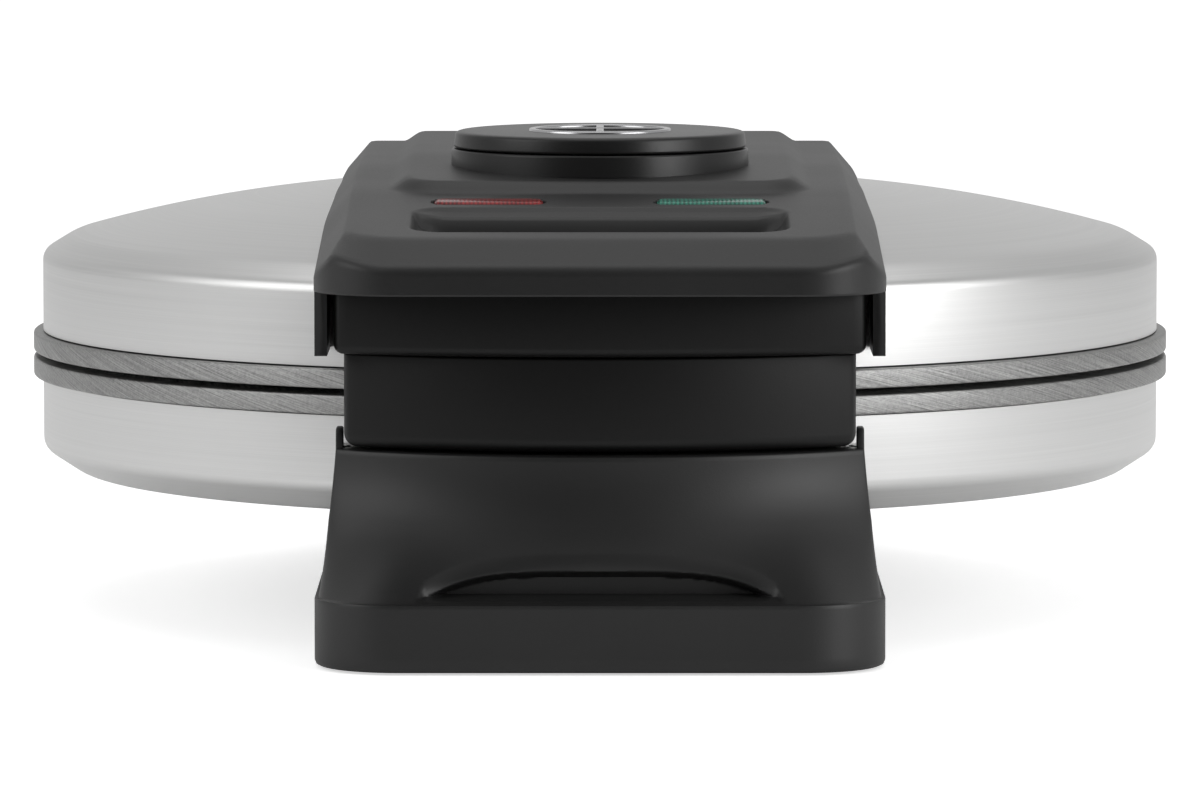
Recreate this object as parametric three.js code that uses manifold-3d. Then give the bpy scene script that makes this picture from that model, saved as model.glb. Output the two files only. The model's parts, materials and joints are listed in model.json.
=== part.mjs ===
// Round waffle maker, closed, standing on its feet.
// Millimetres, +Z up, front towards -Y. The origin is on the table, below the centre of the round plates.
// A hinged lid (steel shell, grid plate, plastic housing with the front grip) closes on a base
// (steel pan, grid plate, plastic band with a front and a rear foot). A dial on the lid sets the browning.
import * as THREE from 'three';
import { mergeVertices } from 'three/addons/utils/BufferGeometryUtils.js';
import Module from 'manifold-3d';

const wasm = await Module();
wasm.setup();

// ---- Driving dimensions ------------------------------------------------------------------
// Overall sizes: the round plates, the height of the join, and the band that crosses them.
const plateRadius = 106;          // rim of both cast grid plates
const joinHeight = 46.15;         // plane between the two plates, and the hinge axis
const bandHalfWidth = 49.8;       // plastic band over the lid and under the pan
const gripDepth = 25;             // plates' rim to the front of grip and foot
const hingeSetback = 12;          // plates' rim to the hinge axis
const rearFootDepth = 13;         // hinge axis to the rear foot's flat back

// Gaps, walls and facets.
const fit = 0.3;                  // gap between pieces that touch
const plasticWall = 2.5;
const skirtWall = 2.2;
const skirtInset = 0.3;           // the skirts stand this far inside the band's sides
const shellWall = 0.8;
const cornerRadius = 15;          // corners of grip and foot in plan
const roundSegments = 60;         // facets round the plates, the shells and what is cut to them
const dialSegments = 40;
const cutterTop = 200;            // above every piece

// Grid plates.
const rimThickness = 3.5;         // edge of each plate
const rimRelief = 0.4;            // step that leaves the dark line round the join
const landInset = 5;              // sealing land inside the rim
const bowlInset = 17;             // waffle cavity inside the rim
const bowlDepth = 8;
const bowlDraft = 2;
const plateWall = 3;
const studPitch = 18;
const studFoot = 10.6;
const studTip = 9;
const studHeight = 5.2;
const studOffset = 13;            // first row of studs from the dividing ribs
const studWallGap = 3;
const ribWidth = 4;

// Steel shells.
const shellInset = 1.8;           // steel wall inside the plates' rim
const bevelWidth = 5.7;           // from the wall in to the dome or the pan's floor
const panBevelHeight = 4.6;
const lidBevelHeight = 3.5;
const domeShoulderRadius = 51;
const domeMiddleRise = 5.45;      // above the bevel's top edge, half way in to the shoulder
const domeShoulderRise = 8.5;
const domeTopRise = 10.5;

// Heating.
const heaterRadius = 58;          // centre line of the tubular element
const heaterTube = 6.4;           // its diameter
const heaterGapAngle = 0.5;       // opening between its two ends, radians
const heaterFacets = 36;          // along its length
const shieldOverhang = 5;         // reflector beyond the waffle cavity
const shieldThickness = 0.8;
const shieldGap = 1.2;            // between the element and the reflector
const shieldHoleRadius = 8;
const shieldFloorGap = 1.3;       // between the lower reflector and the pan's floor
const bevelFootDrop = 1;          // foot of the lid's bevel below the upper reflector's top
const thermostatRadius = 14;
const thermostatBodyDrop = 3;     // its body below its neck's top
const thermostatNeckRadius = 5;
const fuseRadius = 2;
const fuseHalfLength = 8;
const fuseY = 40;
const fuseLift = 2;               // axis above the reflector

// Base.
const footLipTop = 12.2;
const housingFloor = 0.4;         // rim of the base housing above the table
const frontWallSetback = 11;      // top edge of the front wall behind the foot
const frontWallArc = 77;          // plan radius of that edge
const frontWallInset = 2.8;       // and its ends inside the band's sides
const frontWallDepth = 40;
const lap = 6;                    // how far blocks of one moulding run into each other
const frontWallDrop = 9.15;       // its top edge below the join
const rearWallDrop = 12.15;
const archInset = 18.8;           // finger recess in the face of the front foot, from the band's sides
const archTop = 20.3;
const archDepth = 6.5;
const archCrownInset = 9.3;       // ends of its crown inside its own ends
const archCorner = 8;
const guardTabDrop = 5.55;
const guardTabThickness = 1.7;
const guardTabSetback = 14;
const guardTabDepth = 4;
const coverThickness = 2;
const coverFloor = 2.5;
const footPadRadius = 4.8;
const footPinRadius = 2;
const footPadInset = 8.8;         // from the band's sides
const footPadSetback = 12;        // from the front and the rear
const coverScrewInset = 19.8;
const coverScrewSetback = 8;      // inside the plates' rim
const screwRadius = 1.6;
const screwHeadRadius = 3;
const screwHeadHeight = 1.4;
const screwBossRadius = 4;
const screwHoleDepth = 3;         // above the foot's lip
const terminalHalfWidth = 16;
const terminalY = 68;
const terminalDepth = 16;
const terminalHeight = 10;
const terminalPitch = 10;
const terminalBore = 2;
const terminalBoreFloor = 4;
const glandDrop = 14;             // cord gland below the rear wall's top
const glandRadius = 7;
const glandFlange = 1.2;
const glandNeckRadius = 5;
const glandLength = 7;
const glandBore = 3.4;

// Lid housing. Heights are above the foot of the lid's bevel.
const gripUndersideRise = 0.7;
const gripLipRise = 5.7;
const slopeTopRise = 10.1;
const bandFrontRise = 15.2;
const bandTopRise = 17;
const bandShoulderRise = 11.5;
const bandRearRise = 2;
const skirtDrop = 11;
const skirtReach = 26;            // side skirts in over the plates
const rearSkirtReach = 36;
const rearCorner = 12;
const neckFrontInset = 14;        // inside the dome's edge
const neckBackRise = 13;          // above the hinge axis
const neckBackCorner = 5;
const slopeDepth = 10;            // grip slope in plan
const bandFrontSetback = 66;      // from the front to the end of the long rise
const bandRiseLength = 45;
const bandShoulderSetback = 24;   // before the hinge axis
const bandRearSetback = 8;
const chamferWidth = 4.5;
const chamferDrop = 6.5;
const tongueInset = 14.8;
const tongueTopRise = 19;
const tongueFrontRise = 16.9;
const tongueFrontSetback = 61;
const tongueRearSetback = 60;     // before the hinge axis
const tongueNoseLength = 6;
const tongueCrownLength = 20;     // level strip before its rear end
const tongueTailLength = 12;
const linerInset = 3.3;
const linerSetback = 10;
const linerBulge = 8;
const linerBack = 14;             // ends of the liner and of the guard inside the plates' rim
const guardBack = 12;
const pocketBack = 8;
const guardInset = 4.9;
const guardSetback = 12;
const guardBulge = 12;
const guardCorner = 2.6;
const guardDrop = 8.65;           // its lower edge below the join
const guardScrewInset = 19.8;
const guardScrewSetback = 20.35;  // behind the foot's front
const guardScrewHeadRadius = 2.2;
const guardScrewHeadHeight = 1.6;
const guardRibHalfWidth = 2;
const guardSlotInnerX = 10;       // slots in the guard's back, either side of its rib
const guardSlotOuterX = 16;
const guardSlotMargin = 4;
const guardSlotDepth = 6;
const recessInset = 16.5;
const recessSetback = 17;
const recessLength = 28;
const recessDepth = 7;
const recessCorner = 9;
const recessFloorLength = 3;      // level strip along its front
const recessLift = 0.5;           // of that strip's depth line above the top of the grip's slope
const recessBackDepth = 1.6;      // left at its back edge
const lensSetback = 51;
const lensInnerX = 9.8;
const lensInset = 20;             // lens ends inside the band's sides
const lensWidth = 5.4;
const lensDepth = 2.2;
const lensProud = 0.6;
const lampRadius = 2;
const lampHeight = 3.7;
const holderHalfDepth = 4;
const holderPlate = 3;
const holderSocketRadius = 2.5;
const windowMargin = 3;           // opening in the steel beyond the lenses' ends
const windowHalfDepth = 6;

// Dial.
const dialSetback = 93;           // from the front
const dialRadius = 26.7;
const dialThickness = 2.9;
const collarOverhang = 0.5;       // collar beyond the dial
const collarHeight = 3.9;
const collarFootRise = 17.2;
const badgeRadius = 13;
const badgeRingWidth = 1.4;
const badgeHeight = 0.3;
const badgeGap = 0.1;             // between the dial and the badge
const badgeBarWidth = 1.4;
const shaftRadius = 3;
const shaftClearance = 1.5;       // round it in the collar and the housing
const shaftSocketRoof = 1.2;
const thermostatTopRise = 5;

// Hinge.
const knuckleRadius = 8;
const knuckleInset = 16.8;
const hingeEarThickness = 8;
const pinRadius = 2.5;
const pinHeadRadius = 4;
const pinHeadThickness = 1.5;
const pinSeat = 10;               // length of each pin inside the knuckle

// ---- Sizes that follow from them ---------------------------------------------------------------
const shellRadius = plateRadius - shellInset;
const bevelRadius = shellRadius - bevelWidth;
const landRadius = plateRadius - landInset;
const bowlRadius = plateRadius - bowlInset;
const shieldRadius = bowlRadius + shieldOverhang;
const frontReach = plateRadius + gripDepth;
const collarRadius = dialRadius + collarOverhang;
const hingeY = plateRadius + hingeSetback;
const rearReach = hingeY + rearFootDepth;
const frontWallReach = frontReach - frontWallSetback;
const frontWallHalfWidth = bandHalfWidth - frontWallInset;
const frontWallTop = joinHeight - frontWallDrop;
const rearWallTop = joinHeight - rearWallDrop;
const guardBottom = joinHeight - guardDrop;
const guardTabTop = joinHeight - guardTabDrop;
const guardHalfWidth = bandHalfWidth - guardInset;
const guardReach = frontReach - guardSetback;
const linerHalfWidth = bandHalfWidth - linerInset;
const linerReach = frontReach - linerSetback;
const guardScrewX = bandHalfWidth - guardScrewInset;
const guardScrewY = frontReach - guardScrewSetback;
const archHalfWidth = bandHalfWidth - archInset;
const archCrownHalfWidth = archHalfWidth - archCrownInset;
const coverScrewX = bandHalfWidth - coverScrewInset;
const coverScrewY = plateRadius - coverScrewSetback;
const footPadX = bandHalfWidth - footPadInset;
const glandZ = rearWallTop - glandDrop;
const slopeTopY = frontReach - slopeDepth;
const bandFrontTopY = frontReach - bandFrontSetback;
const bandShoulderY = hingeY - bandShoulderSetback;
const bandRearY = hingeY - bandRearSetback;
const chamferTopHalfWidth = bandHalfWidth - chamferWidth;
const tongueHalfWidth = bandHalfWidth - tongueInset;
const tongueFrontY = frontReach - tongueFrontSetback;
const tongueRearY = hingeY - tongueRearSetback;
const recessHalfWidth = bandHalfWidth - recessInset;
const recessFrontY = frontReach - recessSetback;
const recessBackY = recessFrontY - recessLength;
const lensY = frontReach - lensSetback;
const lensOuterX = bandHalfWidth - lensInset;
const dialY = frontReach - dialSetback;
const knuckleHalfWidth = bandHalfWidth - knuckleInset;

// ---- Finishes --------------------------------------------------------------------------------
const finish = (color, roughness, metalness) =>
  new THREE.MeshStandardMaterial({ color, roughness, metalness });
const brushedSteel = finish(0xbfbfbf, 0.35, 1);
const castAluminium = finish(0x9a9a98, 0.5, 1);
const blackPlastic = finish(0x202020, 0.45, 0);
const rubber = finish(0x161616, 0.85, 0);
const plainSteel = finish(0xa8a8a8, 0.4, 1);
const redLens = finish(0x8c2426, 0.2, 0);
const greenLens = finish(0x2c7a62, 0.2, 0);
const ceramic = finish(0xe8e2d4, 0.6, 0);
const heaterSkin = finish(0x4a4640, 0.6, 1);
const lampGlass = finish(0xd8c8b0, 0.15, 0);

// ---- Solids --------------------------------------------------------------------------------------
// A three.js geometry as a solid: shared corners merged, empty faces dropped, faces turned outwards.
function solid(geometry) {
  const bare = geometry.clone();
  for (const name of ['normal', 'uv']) bare.deleteAttribute(name);
  const merged = mergeVertices(bare, 1e-4);
  const corners = merged.attributes.position.array;
  const order = merged.index.array;
  const faces = [];
  let volume = 0;
  for (let i = 0; i < order.length; i += 3) {
    const [a, b, c] = [order[i], order[i + 1], order[i + 2]];
    if (a === b || b === c || c === a) continue;
    faces.push(a, b, c);
    const [p, q, r] = [a, b, c].map((k) => new THREE.Vector3().fromArray(corners, 3 * k));
    volume += p.dot(q.cross(r));
  }
  if (volume < 0) faces.reverse();
  return new wasm.Manifold(new wasm.Mesh({
    numProp: 3,
    vertProperties: corners,
    triVerts: Uint32Array.from(faces),
  }));
}

function addMesh(group, name, material, shape) {
  const result = shape.getMesh();
  const geometry = new THREE.BufferGeometry();
  geometry.setAttribute('position', new THREE.BufferAttribute(result.vertProperties, 3));
  geometry.setIndex(new THREE.BufferAttribute(result.triVerts, 1));
  geometry.computeVertexNormals();
  const mesh = new THREE.Mesh(geometry, material);
  mesh.name = name;
  group.add(mesh);
}

const box = (x0, x1, y0, y1, z0, z1) => solid(
  new THREE.BoxGeometry(x1 - x0, y1 - y0, z1 - z0).translate((x0 + x1) / 2, (y0 + y1) / 2, (z0 + z1) / 2),
);

// A closed outline of [u, v, corner radius] points, with its corners rounded.
// A fillet takes at most half of either side that it joins.
function outline(points) {
  const shape = new THREE.Shape();
  const corner = points.map(([u, v]) => new THREE.Vector2(u, v));
  points.forEach(([, , wanted = 0], i) => {
    const here = corner[i];
    const before = corner[(i + points.length - 1) % points.length];
    const after = corner[(i + 1) % points.length];
    const radius = Math.min(wanted, 0.48 * here.distanceTo(before), 0.48 * here.distanceTo(after));
    const toBefore = before.clone().sub(here).normalize();
    const toAfter = after.clone().sub(here).normalize();
    const start = here.clone().addScaledVector(toBefore, radius);
    const end = here.clone().addScaledVector(toAfter, radius);
    if (i === 0) shape.moveTo(start.x, start.y);
    else shape.lineTo(start.x, start.y);
    if (radius > 0) shape.quadraticCurveTo(here.x, here.y, end.x, end.y);
  });
  shape.closePath();
  return shape;
}

const extrude = (shape, depth, curveSegments) =>
  new THREE.ExtrudeGeometry(shape, { depth, bevelEnabled: false, curveSegments });

// A plan outline between two heights.
const standing = (shape, z0, z1, curveSegments = 6) =>
  solid(extrude(shape, z1 - z0, curveSegments).translate(0, 0, z0));

// A side outline (y, z) carried across x, and a front outline (x, z) carried along y.
function across(shape, x0, x1, curveSegments = 6) {
  const turn = new THREE.Matrix4().makeBasis(
    new THREE.Vector3(0, 1, 0), new THREE.Vector3(0, 0, 1), new THREE.Vector3(1, 0, 0),
  );
  return solid(extrude(shape, x1 - x0, curveSegments).applyMatrix4(turn).translate(x0, 0, 0));
}

function along(shape, y0, y1, curveSegments = 6) {
  const turn = new THREE.Matrix4().makeBasis(
    new THREE.Vector3(1, 0, 0), new THREE.Vector3(0, 0, 1), new THREE.Vector3(0, -1, 0),
  );
  return solid(extrude(shape, y1 - y0, curveSegments).applyMatrix4(turn).translate(0, y1, 0));
}

// A profile of [radius, height] turned about the upright line through (x, y).
function turned(profile, x = 0, y = 0, segments = roundSegments) {
  const points = profile.map(([r, z]) => new THREE.Vector2(r, z));
  points.push(points[0].clone());
  return solid(new THREE.LatheGeometry(points, segments).rotateX(Math.PI / 2).translate(x, y, 0));
}

const disc = (radius, z0, z1, x = 0, y = 0, segments = 32) =>
  turned([[0, z0], [radius, z0], [radius, z1], [0, z1]], x, y, segments);

// A rod along x or y.
const rodX = (radius, x0, x1, y, z, segments = 24) => solid(
  new THREE.CylinderGeometry(radius, radius, x1 - x0, segments)
    .rotateZ(Math.PI / 2)
    .translate((x0 + x1) / 2, y, z),
);
const rodY = (radius, y0, y1, x, z, segments = 24) => solid(
  new THREE.CylinderGeometry(radius, radius, y1 - y0, segments).translate(x, (y0 + y1) / 2, z),
);

// ---- Heights worked out from the join --------------------------------------------------------
const lowerRimTop = joinHeight - fit / 2;
const lowerRimBottom = lowerRimTop - rimRelief - rimThickness;
const upperRimBottom = joinHeight + fit / 2;
const upperRimTop = upperRimBottom + rimRelief + rimThickness;
const panTop = lowerRimBottom - fit;
const stackHeight = fit / 2 + bowlDepth + plateWall + fit + heaterTube + shieldGap + shieldThickness;
const panBottom = joinHeight - stackHeight - shieldFloorGap - shellWall;
const panBevelTop = panBottom + panBevelHeight;
const lidBottom = upperRimTop + fit;
const lidBevelBottom = joinHeight + stackHeight - bevelFootDrop;
const lidBevelTop = lidBevelBottom + lidBevelHeight;
const gripUnderside = lidBevelBottom + gripUndersideRise;
const gripLipTop = lidBevelBottom + gripLipRise;
const slopeTopZ = lidBevelBottom + slopeTopRise;
const bandFrontTopZ = lidBevelBottom + bandFrontRise;
const bandTopZ = lidBevelBottom + bandTopRise;
const bandShoulderZ = lidBevelBottom + bandShoulderRise;
const bandRearTop = lidBevelBottom + bandRearRise;
const skirtBottom = lidBevelBottom - skirtDrop;
const tongueTop = lidBevelBottom + tongueTopRise;
const tongueFrontTop = lidBevelBottom + tongueFrontRise;
const collarBottom = lidBevelBottom + collarFootRise;
const collarTop = collarBottom + collarHeight;
const dialBottom = collarTop + fit;
const dialTop = dialBottom + dialThickness;
const badgeTop = dialTop + badgeGap + badgeHeight;
const thermostatTop = lidBevelBottom + thermostatTopRise;

// The steel lid's outside, grown by a clearance, as a solid down to a given height.
function lidForm(grow, floor) {
  const top = lidBevelTop + grow;
  return turned([
    [0, floor],
    [shellRadius + grow, floor],
    [shellRadius + grow, lidBevelBottom],
    [bevelRadius + grow, top],
    [(bevelRadius + domeShoulderRadius) / 2, top + domeMiddleRise],
    [domeShoulderRadius, top + domeShoulderRise],
    [0, top + domeTopRise],
  ]);
}

function panForm(grow, ceiling) {
  return turned([
    [0, panBottom - grow],
    [bevelRadius + grow, panBottom - grow],
    [shellRadius + grow, panBevelTop],
    [shellRadius + grow, ceiling],
    [0, ceiling],
  ]);
}

// ---- Grid plates -----------------------------------------------------------------------------------
// direction is +1 for the plate that faces down into the join from above, -1 for the one below it.
function gridPlate(direction) {
  const face = joinHeight + direction * fit / 2;
  const at = (depth) => face + direction * depth;
  let plate = turned([
    [0, at(bowlDepth)],
    [bowlRadius - bowlDraft, at(bowlDepth)],
    [bowlRadius, at(0)],
    [landRadius, at(0)],
    [landRadius + 1, at(rimRelief)],
    [plateRadius, at(rimRelief)],
    [plateRadius, at(rimRelief + rimThickness)],
    [bowlRadius + plateWall, at(rimRelief + rimThickness)],
    [bowlRadius + plateWall - bowlDraft, at(bowlDepth + plateWall)],
    [0, at(bowlDepth + plateWall)],
  ]);
  const rows = [];
  for (let offset = studOffset; offset < bowlRadius; offset += studPitch) rows.push(-offset, offset);
  const tipRadius = studTip / Math.SQRT2;
  const footRadius = studFoot / Math.SQRT2;
  for (const x of rows) {
    for (const y of rows) {
      if (Math.hypot(x, y) + footRadius > bowlRadius - studWallGap) continue;
      const stud = new THREE.CylinderGeometry(tipRadius, footRadius, studHeight + 1, 4)
        .rotateY(Math.PI / 4)
        .rotateX(-direction * Math.PI / 2)
        .translate(x, y, at(bowlDepth - studHeight / 2 + 0.5));
      plate = plate.add(solid(stud));
    }
  }
  const ribDepths = [at(bowlDepth + 1), at(bowlDepth - studHeight)];
  const ribLow = Math.min(...ribDepths);
  const ribHigh = Math.max(...ribDepths);
  const ribEnd = bowlRadius - 1;
  plate = plate.add(box(-ribEnd, ribEnd, -ribWidth / 2, ribWidth / 2, ribLow, ribHigh));
  return plate.add(box(-ribWidth / 2, ribWidth / 2, -ribEnd, ribEnd, ribLow, ribHigh));
}

// The tubular element: a ring left open at the rear, with its two ends turned away from the plate.
function heatingElement(direction) {
  const plateBack = joinHeight + direction * (fit / 2 + bowlDepth + plateWall);
  const z = plateBack + direction * (fit + heaterTube / 2);
  const ring = [];
  const steps = 28;
  for (let i = 0; i <= steps; i += 1) {
    const angle = Math.PI / 2 + heaterGapAngle / 2 + (i / steps) * (2 * Math.PI - heaterGapAngle);
    ring.push(new THREE.Vector3(heaterRadius * Math.cos(angle), heaterRadius * Math.sin(angle), z));
  }
  const section = new THREE.Shape().absarc(0, 0, heaterTube / 2, 0, 2 * Math.PI);
  const tube = new THREE.ExtrudeGeometry(section, {
    steps: heaterFacets,
    curveSegments: 4,
    extrudePath: new THREE.CatmullRomCurve3(ring),
  });
  return solid(tube);
}

function heatShield(direction) {
  const plateBack = joinHeight + direction * (fit / 2 + bowlDepth + plateWall);
  const near = plateBack + direction * (fit + heaterTube + shieldGap);
  const far = near + direction * shieldThickness;
  return turned([
    [shieldHoleRadius, near], [shieldRadius, near], [shieldRadius, far], [shieldHoleRadius, far],
  ]);
}

// ---- Plan outlines of the plastic band ---------------------------------------------------------
const bandPlan = (inset) => outline([
  [-bandHalfWidth + inset, -frontReach + inset, cornerRadius - inset],
  [bandHalfWidth - inset, -frontReach + inset, cornerRadius - inset],
  [bandHalfWidth - inset, rearReach - inset, cornerRadius - inset],
  [-bandHalfWidth + inset, rearReach - inset, cornerRadius - inset],
]);

// A front wall in plan: an arc that stands forward by its bulge in the middle, closed at the back.
function bowedPlan(halfWidth, reach, bulge, back) {
  const arcRadius = (halfWidth * halfWidth + bulge * bulge) / (2 * bulge);
  const half = Math.asin(halfWidth / arcRadius);
  const shape = new THREE.Shape();
  shape.moveTo(halfWidth, -back);
  shape.lineTo(-halfWidth, -back);
  shape.absarc(0, arcRadius - reach, arcRadius, -Math.PI / 2 - half, -Math.PI / 2 + half, false);
  shape.closePath();
  return shape;
}

// ---- Base --------------------------------------------------------------------------------------------
// The front wall sweeps down and out to the foot: a turned form about the line behind it.
function frontFlare(inset) {
  const centreY = frontWallArc - frontWallReach;
  const topRadius = frontWallArc - inset;
  const lipRadius = frontReach + centreY - inset;
  const steps = 6;
  const profile = [[0, footLipTop - 1], [lipRadius, footLipTop - 1]];
  for (let i = 0; i <= steps; i += 1) {
    const t = i / steps;
    const z = footLipTop + t * (frontWallTop - inset - footLipTop);
    profile.push([lipRadius + (topRadius - lipRadius) * (1 - (1 - t) ** 2), z]);
  }
  profile.push([0, frontWallTop - inset]);
  const limit = box(-frontWallHalfWidth + inset, frontWallHalfWidth - inset,
    -frontReach, -frontWallReach + frontWallDepth, 0, cutterTop);
  return turned(profile, 0, centreY).intersect(limit);
}

function baseBody(inset) {
  const low = inset > 0 ? -1 : housingFloor;
  const foot = standing(bandPlan(inset), low, footLipTop - inset);
  const middle = box(
    -frontWallHalfWidth + inset, frontWallHalfWidth - inset,
    -frontWallReach + frontWallDepth - lap, rearReach - cornerRadius, footLipTop - 4, rearWallTop - inset,
  );
  const rear = standing(bandPlan(inset), footLipTop - 4, rearWallTop - inset)
    .intersect(box(
      -bandHalfWidth, bandHalfWidth, hingeY - knuckleRadius + inset, rearReach + 1, 0, cutterTop,
    ));
  return foot.add(middle).add(rear).add(frontFlare(inset));
}

function hingeEar(side) {
  const innerX = knuckleHalfWidth + fit;
  const ends = [side * innerX, side * (innerX + hingeEarThickness)].sort((a, b) => a - b);
  const post = box(
    ends[0], ends[1], hingeY - knuckleRadius, hingeY + knuckleRadius, rearWallTop - 3, joinHeight,
  );
  return post.add(rodX(knuckleRadius, ends[0], ends[1], hingeY, joinHeight, 32));
}

const panSeat = () => panForm(fit, panTop)
  .add(disc(plateRadius + 2 * fit, panBevelTop, cutterTop, 0, 0, roundSegments));

function baseHousing() {
  let body = baseBody(0).subtract(panSeat());
  const wallKeeper = panForm(fit + plasticWall, panTop)
    .add(disc(plateRadius + 2 * fit + plasticWall, panBevelTop - 2, cutterTop, 0, 0, roundSegments));
  body = body.subtract(baseBody(plasticWall).subtract(wallKeeper).subtract(archRecess(plasticWall)));
  body = body.subtract(archRecess(0));
  for (const side of [-1, 1]) {
    const tabX = [side * (guardHalfWidth + fit), side * (guardHalfWidth + fit + guardTabThickness)];
    tabX.sort((a, b) => a - b);
    body = body.add(box(
      tabX[0], tabX[1], -frontWallReach + guardTabSetback, -frontWallReach + guardTabSetback + guardTabDepth,
      frontWallTop - 4, guardTabTop,
    ));
    body = body.add(hingeEar(side));
  }
  body = body.subtract(rodX(pinRadius + fit, -bandHalfWidth, bandHalfWidth, hingeY, joinHeight));
  body = body.subtract(rodY(glandRadius + fit, rearReach - glandFlange - fit, rearReach + 1, 0, glandZ));
  body = body.subtract(rodY(glandNeckRadius + fit, rearReach - glandLength - 1, rearReach + 1, 0, glandZ));
  for (const [x, y] of coverScrewPlaces()) {
    const boss = disc(screwBossRadius, coverFloor + coverThickness + fit, panBottom - fit - 1, x, y, 12);
    body = body.add(boss).subtract(disc(screwRadius + fit, 0, footLipTop + screwHoleDepth, x, y, 12));
  }
  return body;
}

function archRecess(grow) {
  const shape = outline([
    [-archHalfWidth - grow, footLipTop - grow],
    [-archCrownHalfWidth - grow, archTop + grow, archCorner],
    [archCrownHalfWidth + grow, archTop + grow, archCorner],
    [archHalfWidth + grow, footLipTop - grow],
  ]);
  return along(shape, -frontReach - 1, -frontReach + archDepth + grow);
}

const coverScrewPlaces = () => [
  [-coverScrewX, -coverScrewY],
  [coverScrewX, -coverScrewY],
  [-coverScrewX, coverScrewY],
  [coverScrewX, coverScrewY],
];
const footPlaces = () => [
  ['front_left', -footPadX, -frontReach + footPadSetback],
  ['front_right', footPadX, -frontReach + footPadSetback],
  ['rear_left', -footPadX, rearReach - footPadSetback],
  ['rear_right', footPadX, rearReach - footPadSetback],
];

function baseCover() {
  let cover = standing(bandPlan(plasticWall + fit), coverFloor, coverFloor + coverThickness);
  for (const [x, y] of coverScrewPlaces()) cover = cover.subtract(disc(screwRadius + fit, 0, 10, x, y, 12));
  for (const [, x, y] of footPlaces()) cover = cover.subtract(disc(footPinRadius + fit, 0, 10, x, y, 16));
  return cover;
}

const footPad = (x, y) => disc(footPadRadius, 0, coverFloor - fit, x, y, 28)
  .add(disc(footPinRadius, 1, coverFloor + coverThickness + 1, x, y, 16));

function coverScrew(x, y) {
  const headTop = coverFloor - fit;
  return disc(screwHeadRadius, headTop - screwHeadHeight, headTop, x, y, 20)
    .add(disc(screwRadius, headTop - 1, footLipTop, x, y, 12));
}

function lowerPan() {
  return panForm(0, panTop).subtract(turned([
    [0, panBottom + shellWall],
    [bevelRadius - shellWall / 2, panBottom + shellWall],
    [shellRadius - shellWall, panBevelTop + shellWall / 2],
    [shellRadius - shellWall, panTop + 1],
    [0, panTop + 1],
  ]));
}

function hingePin(side) {
  const inner = knuckleHalfWidth - pinSeat;
  const outer = knuckleHalfWidth + fit + hingeEarThickness;
  const ends = [side * inner, side * outer].sort((a, b) => a - b);
  const headEnds = [side * (outer + fit), side * (outer + fit + pinHeadThickness)].sort((a, b) => a - b);
  const neck = [side * (outer - 1), side * (outer + fit + 1)].sort((a, b) => a - b);
  return rodX(pinRadius, ends[0], ends[1], hingeY, joinHeight, 20)
    .add(rodX(pinRadius, neck[0], neck[1], hingeY, joinHeight, 20))
    .add(rodX(pinHeadRadius, headEnds[0], headEnds[1], hingeY, joinHeight, 20));
}

function cordGland() {
  return rodY(glandRadius, rearReach - glandFlange, rearReach, 0, glandZ)
    .add(rodY(glandNeckRadius, rearReach - glandLength, rearReach - glandFlange / 2, 0, glandZ))
    .subtract(rodY(glandBore, rearReach - glandLength - 1, rearReach + 1, 0, glandZ, 20));
}

function terminalBlock() {
  const floor = coverFloor + coverThickness + fit;
  let block = box(
    -terminalHalfWidth, terminalHalfWidth, terminalY - terminalDepth / 2, terminalY + terminalDepth / 2,
    floor, floor + terminalHeight,
  );
  for (const x of [-terminalPitch, 0, terminalPitch]) {
    block = block.subtract(disc(
      terminalBore, floor + terminalBoreFloor, floor + terminalHeight + 1, x, terminalY, 12,
    ));
  }
  return block;
}

// ---- Lid ---------------------------------------------------------------------------------------------
function lidShell() {
  const inner = turned([
    [0, lidBottom - 1],
    [shellRadius - shellWall, lidBottom - 1],
    [shellRadius - shellWall, lidBevelBottom - shellWall / 2],
    [bevelRadius - shellWall / 2, lidBevelTop - shellWall],
    [(bevelRadius + domeShoulderRadius) / 2, lidBevelTop + domeMiddleRise - shellWall],
    [domeShoulderRadius, lidBevelTop + domeShoulderRise - shellWall],
    [0, lidBevelTop + domeTopRise - shellWall],
  ]);
  return lidForm(0, lidBottom)
    .subtract(inner)
    .subtract(disc(shaftRadius * 2, lidBottom, cutterTop, 0, -dialY, 24))
    .subtract(lampWindow());
}

// Opening in the steel under the housing, through which the two indicator lamps hang.
const lampWindow = () => box(
  -lensOuterX - windowMargin, lensOuterX + windowMargin, -lensY - windowHalfDepth, -lensY + windowHalfDepth,
  lidBottom, cutterTop,
);

// Side outline of the housing, from the grip back over the lid to the hinge.
const housingSide = (inset) => outline([
  [-frontReach + inset, gripUnderside],
  [-frontReach + inset, gripLipTop - inset / 2, 1.5],
  [-slopeTopY, slopeTopZ - inset, 2],
  [-bandFrontTopY, bandFrontTopZ - inset, 6],
  [-bandFrontTopY + bandRiseLength, bandTopZ - inset, 6],
  [tongueRearY, bandTopZ - inset, 12],
  [bandShoulderY, bandShoulderZ - inset, 8],
  [bandRearY, bandRearTop - inset, 3],
  [bandRearY, gripUnderside - inset],
]);

const housingFront = () => outline([
  [-bandHalfWidth, gripUnderside - 1],
  [bandHalfWidth, gripUnderside - 1],
  [bandHalfWidth, bandTopZ - chamferDrop, 2],
  [chamferTopHalfWidth, bandTopZ + 1],
  [-chamferTopHalfWidth, bandTopZ + 1],
  [-bandHalfWidth, bandTopZ - chamferDrop, 2],
]);

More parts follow.
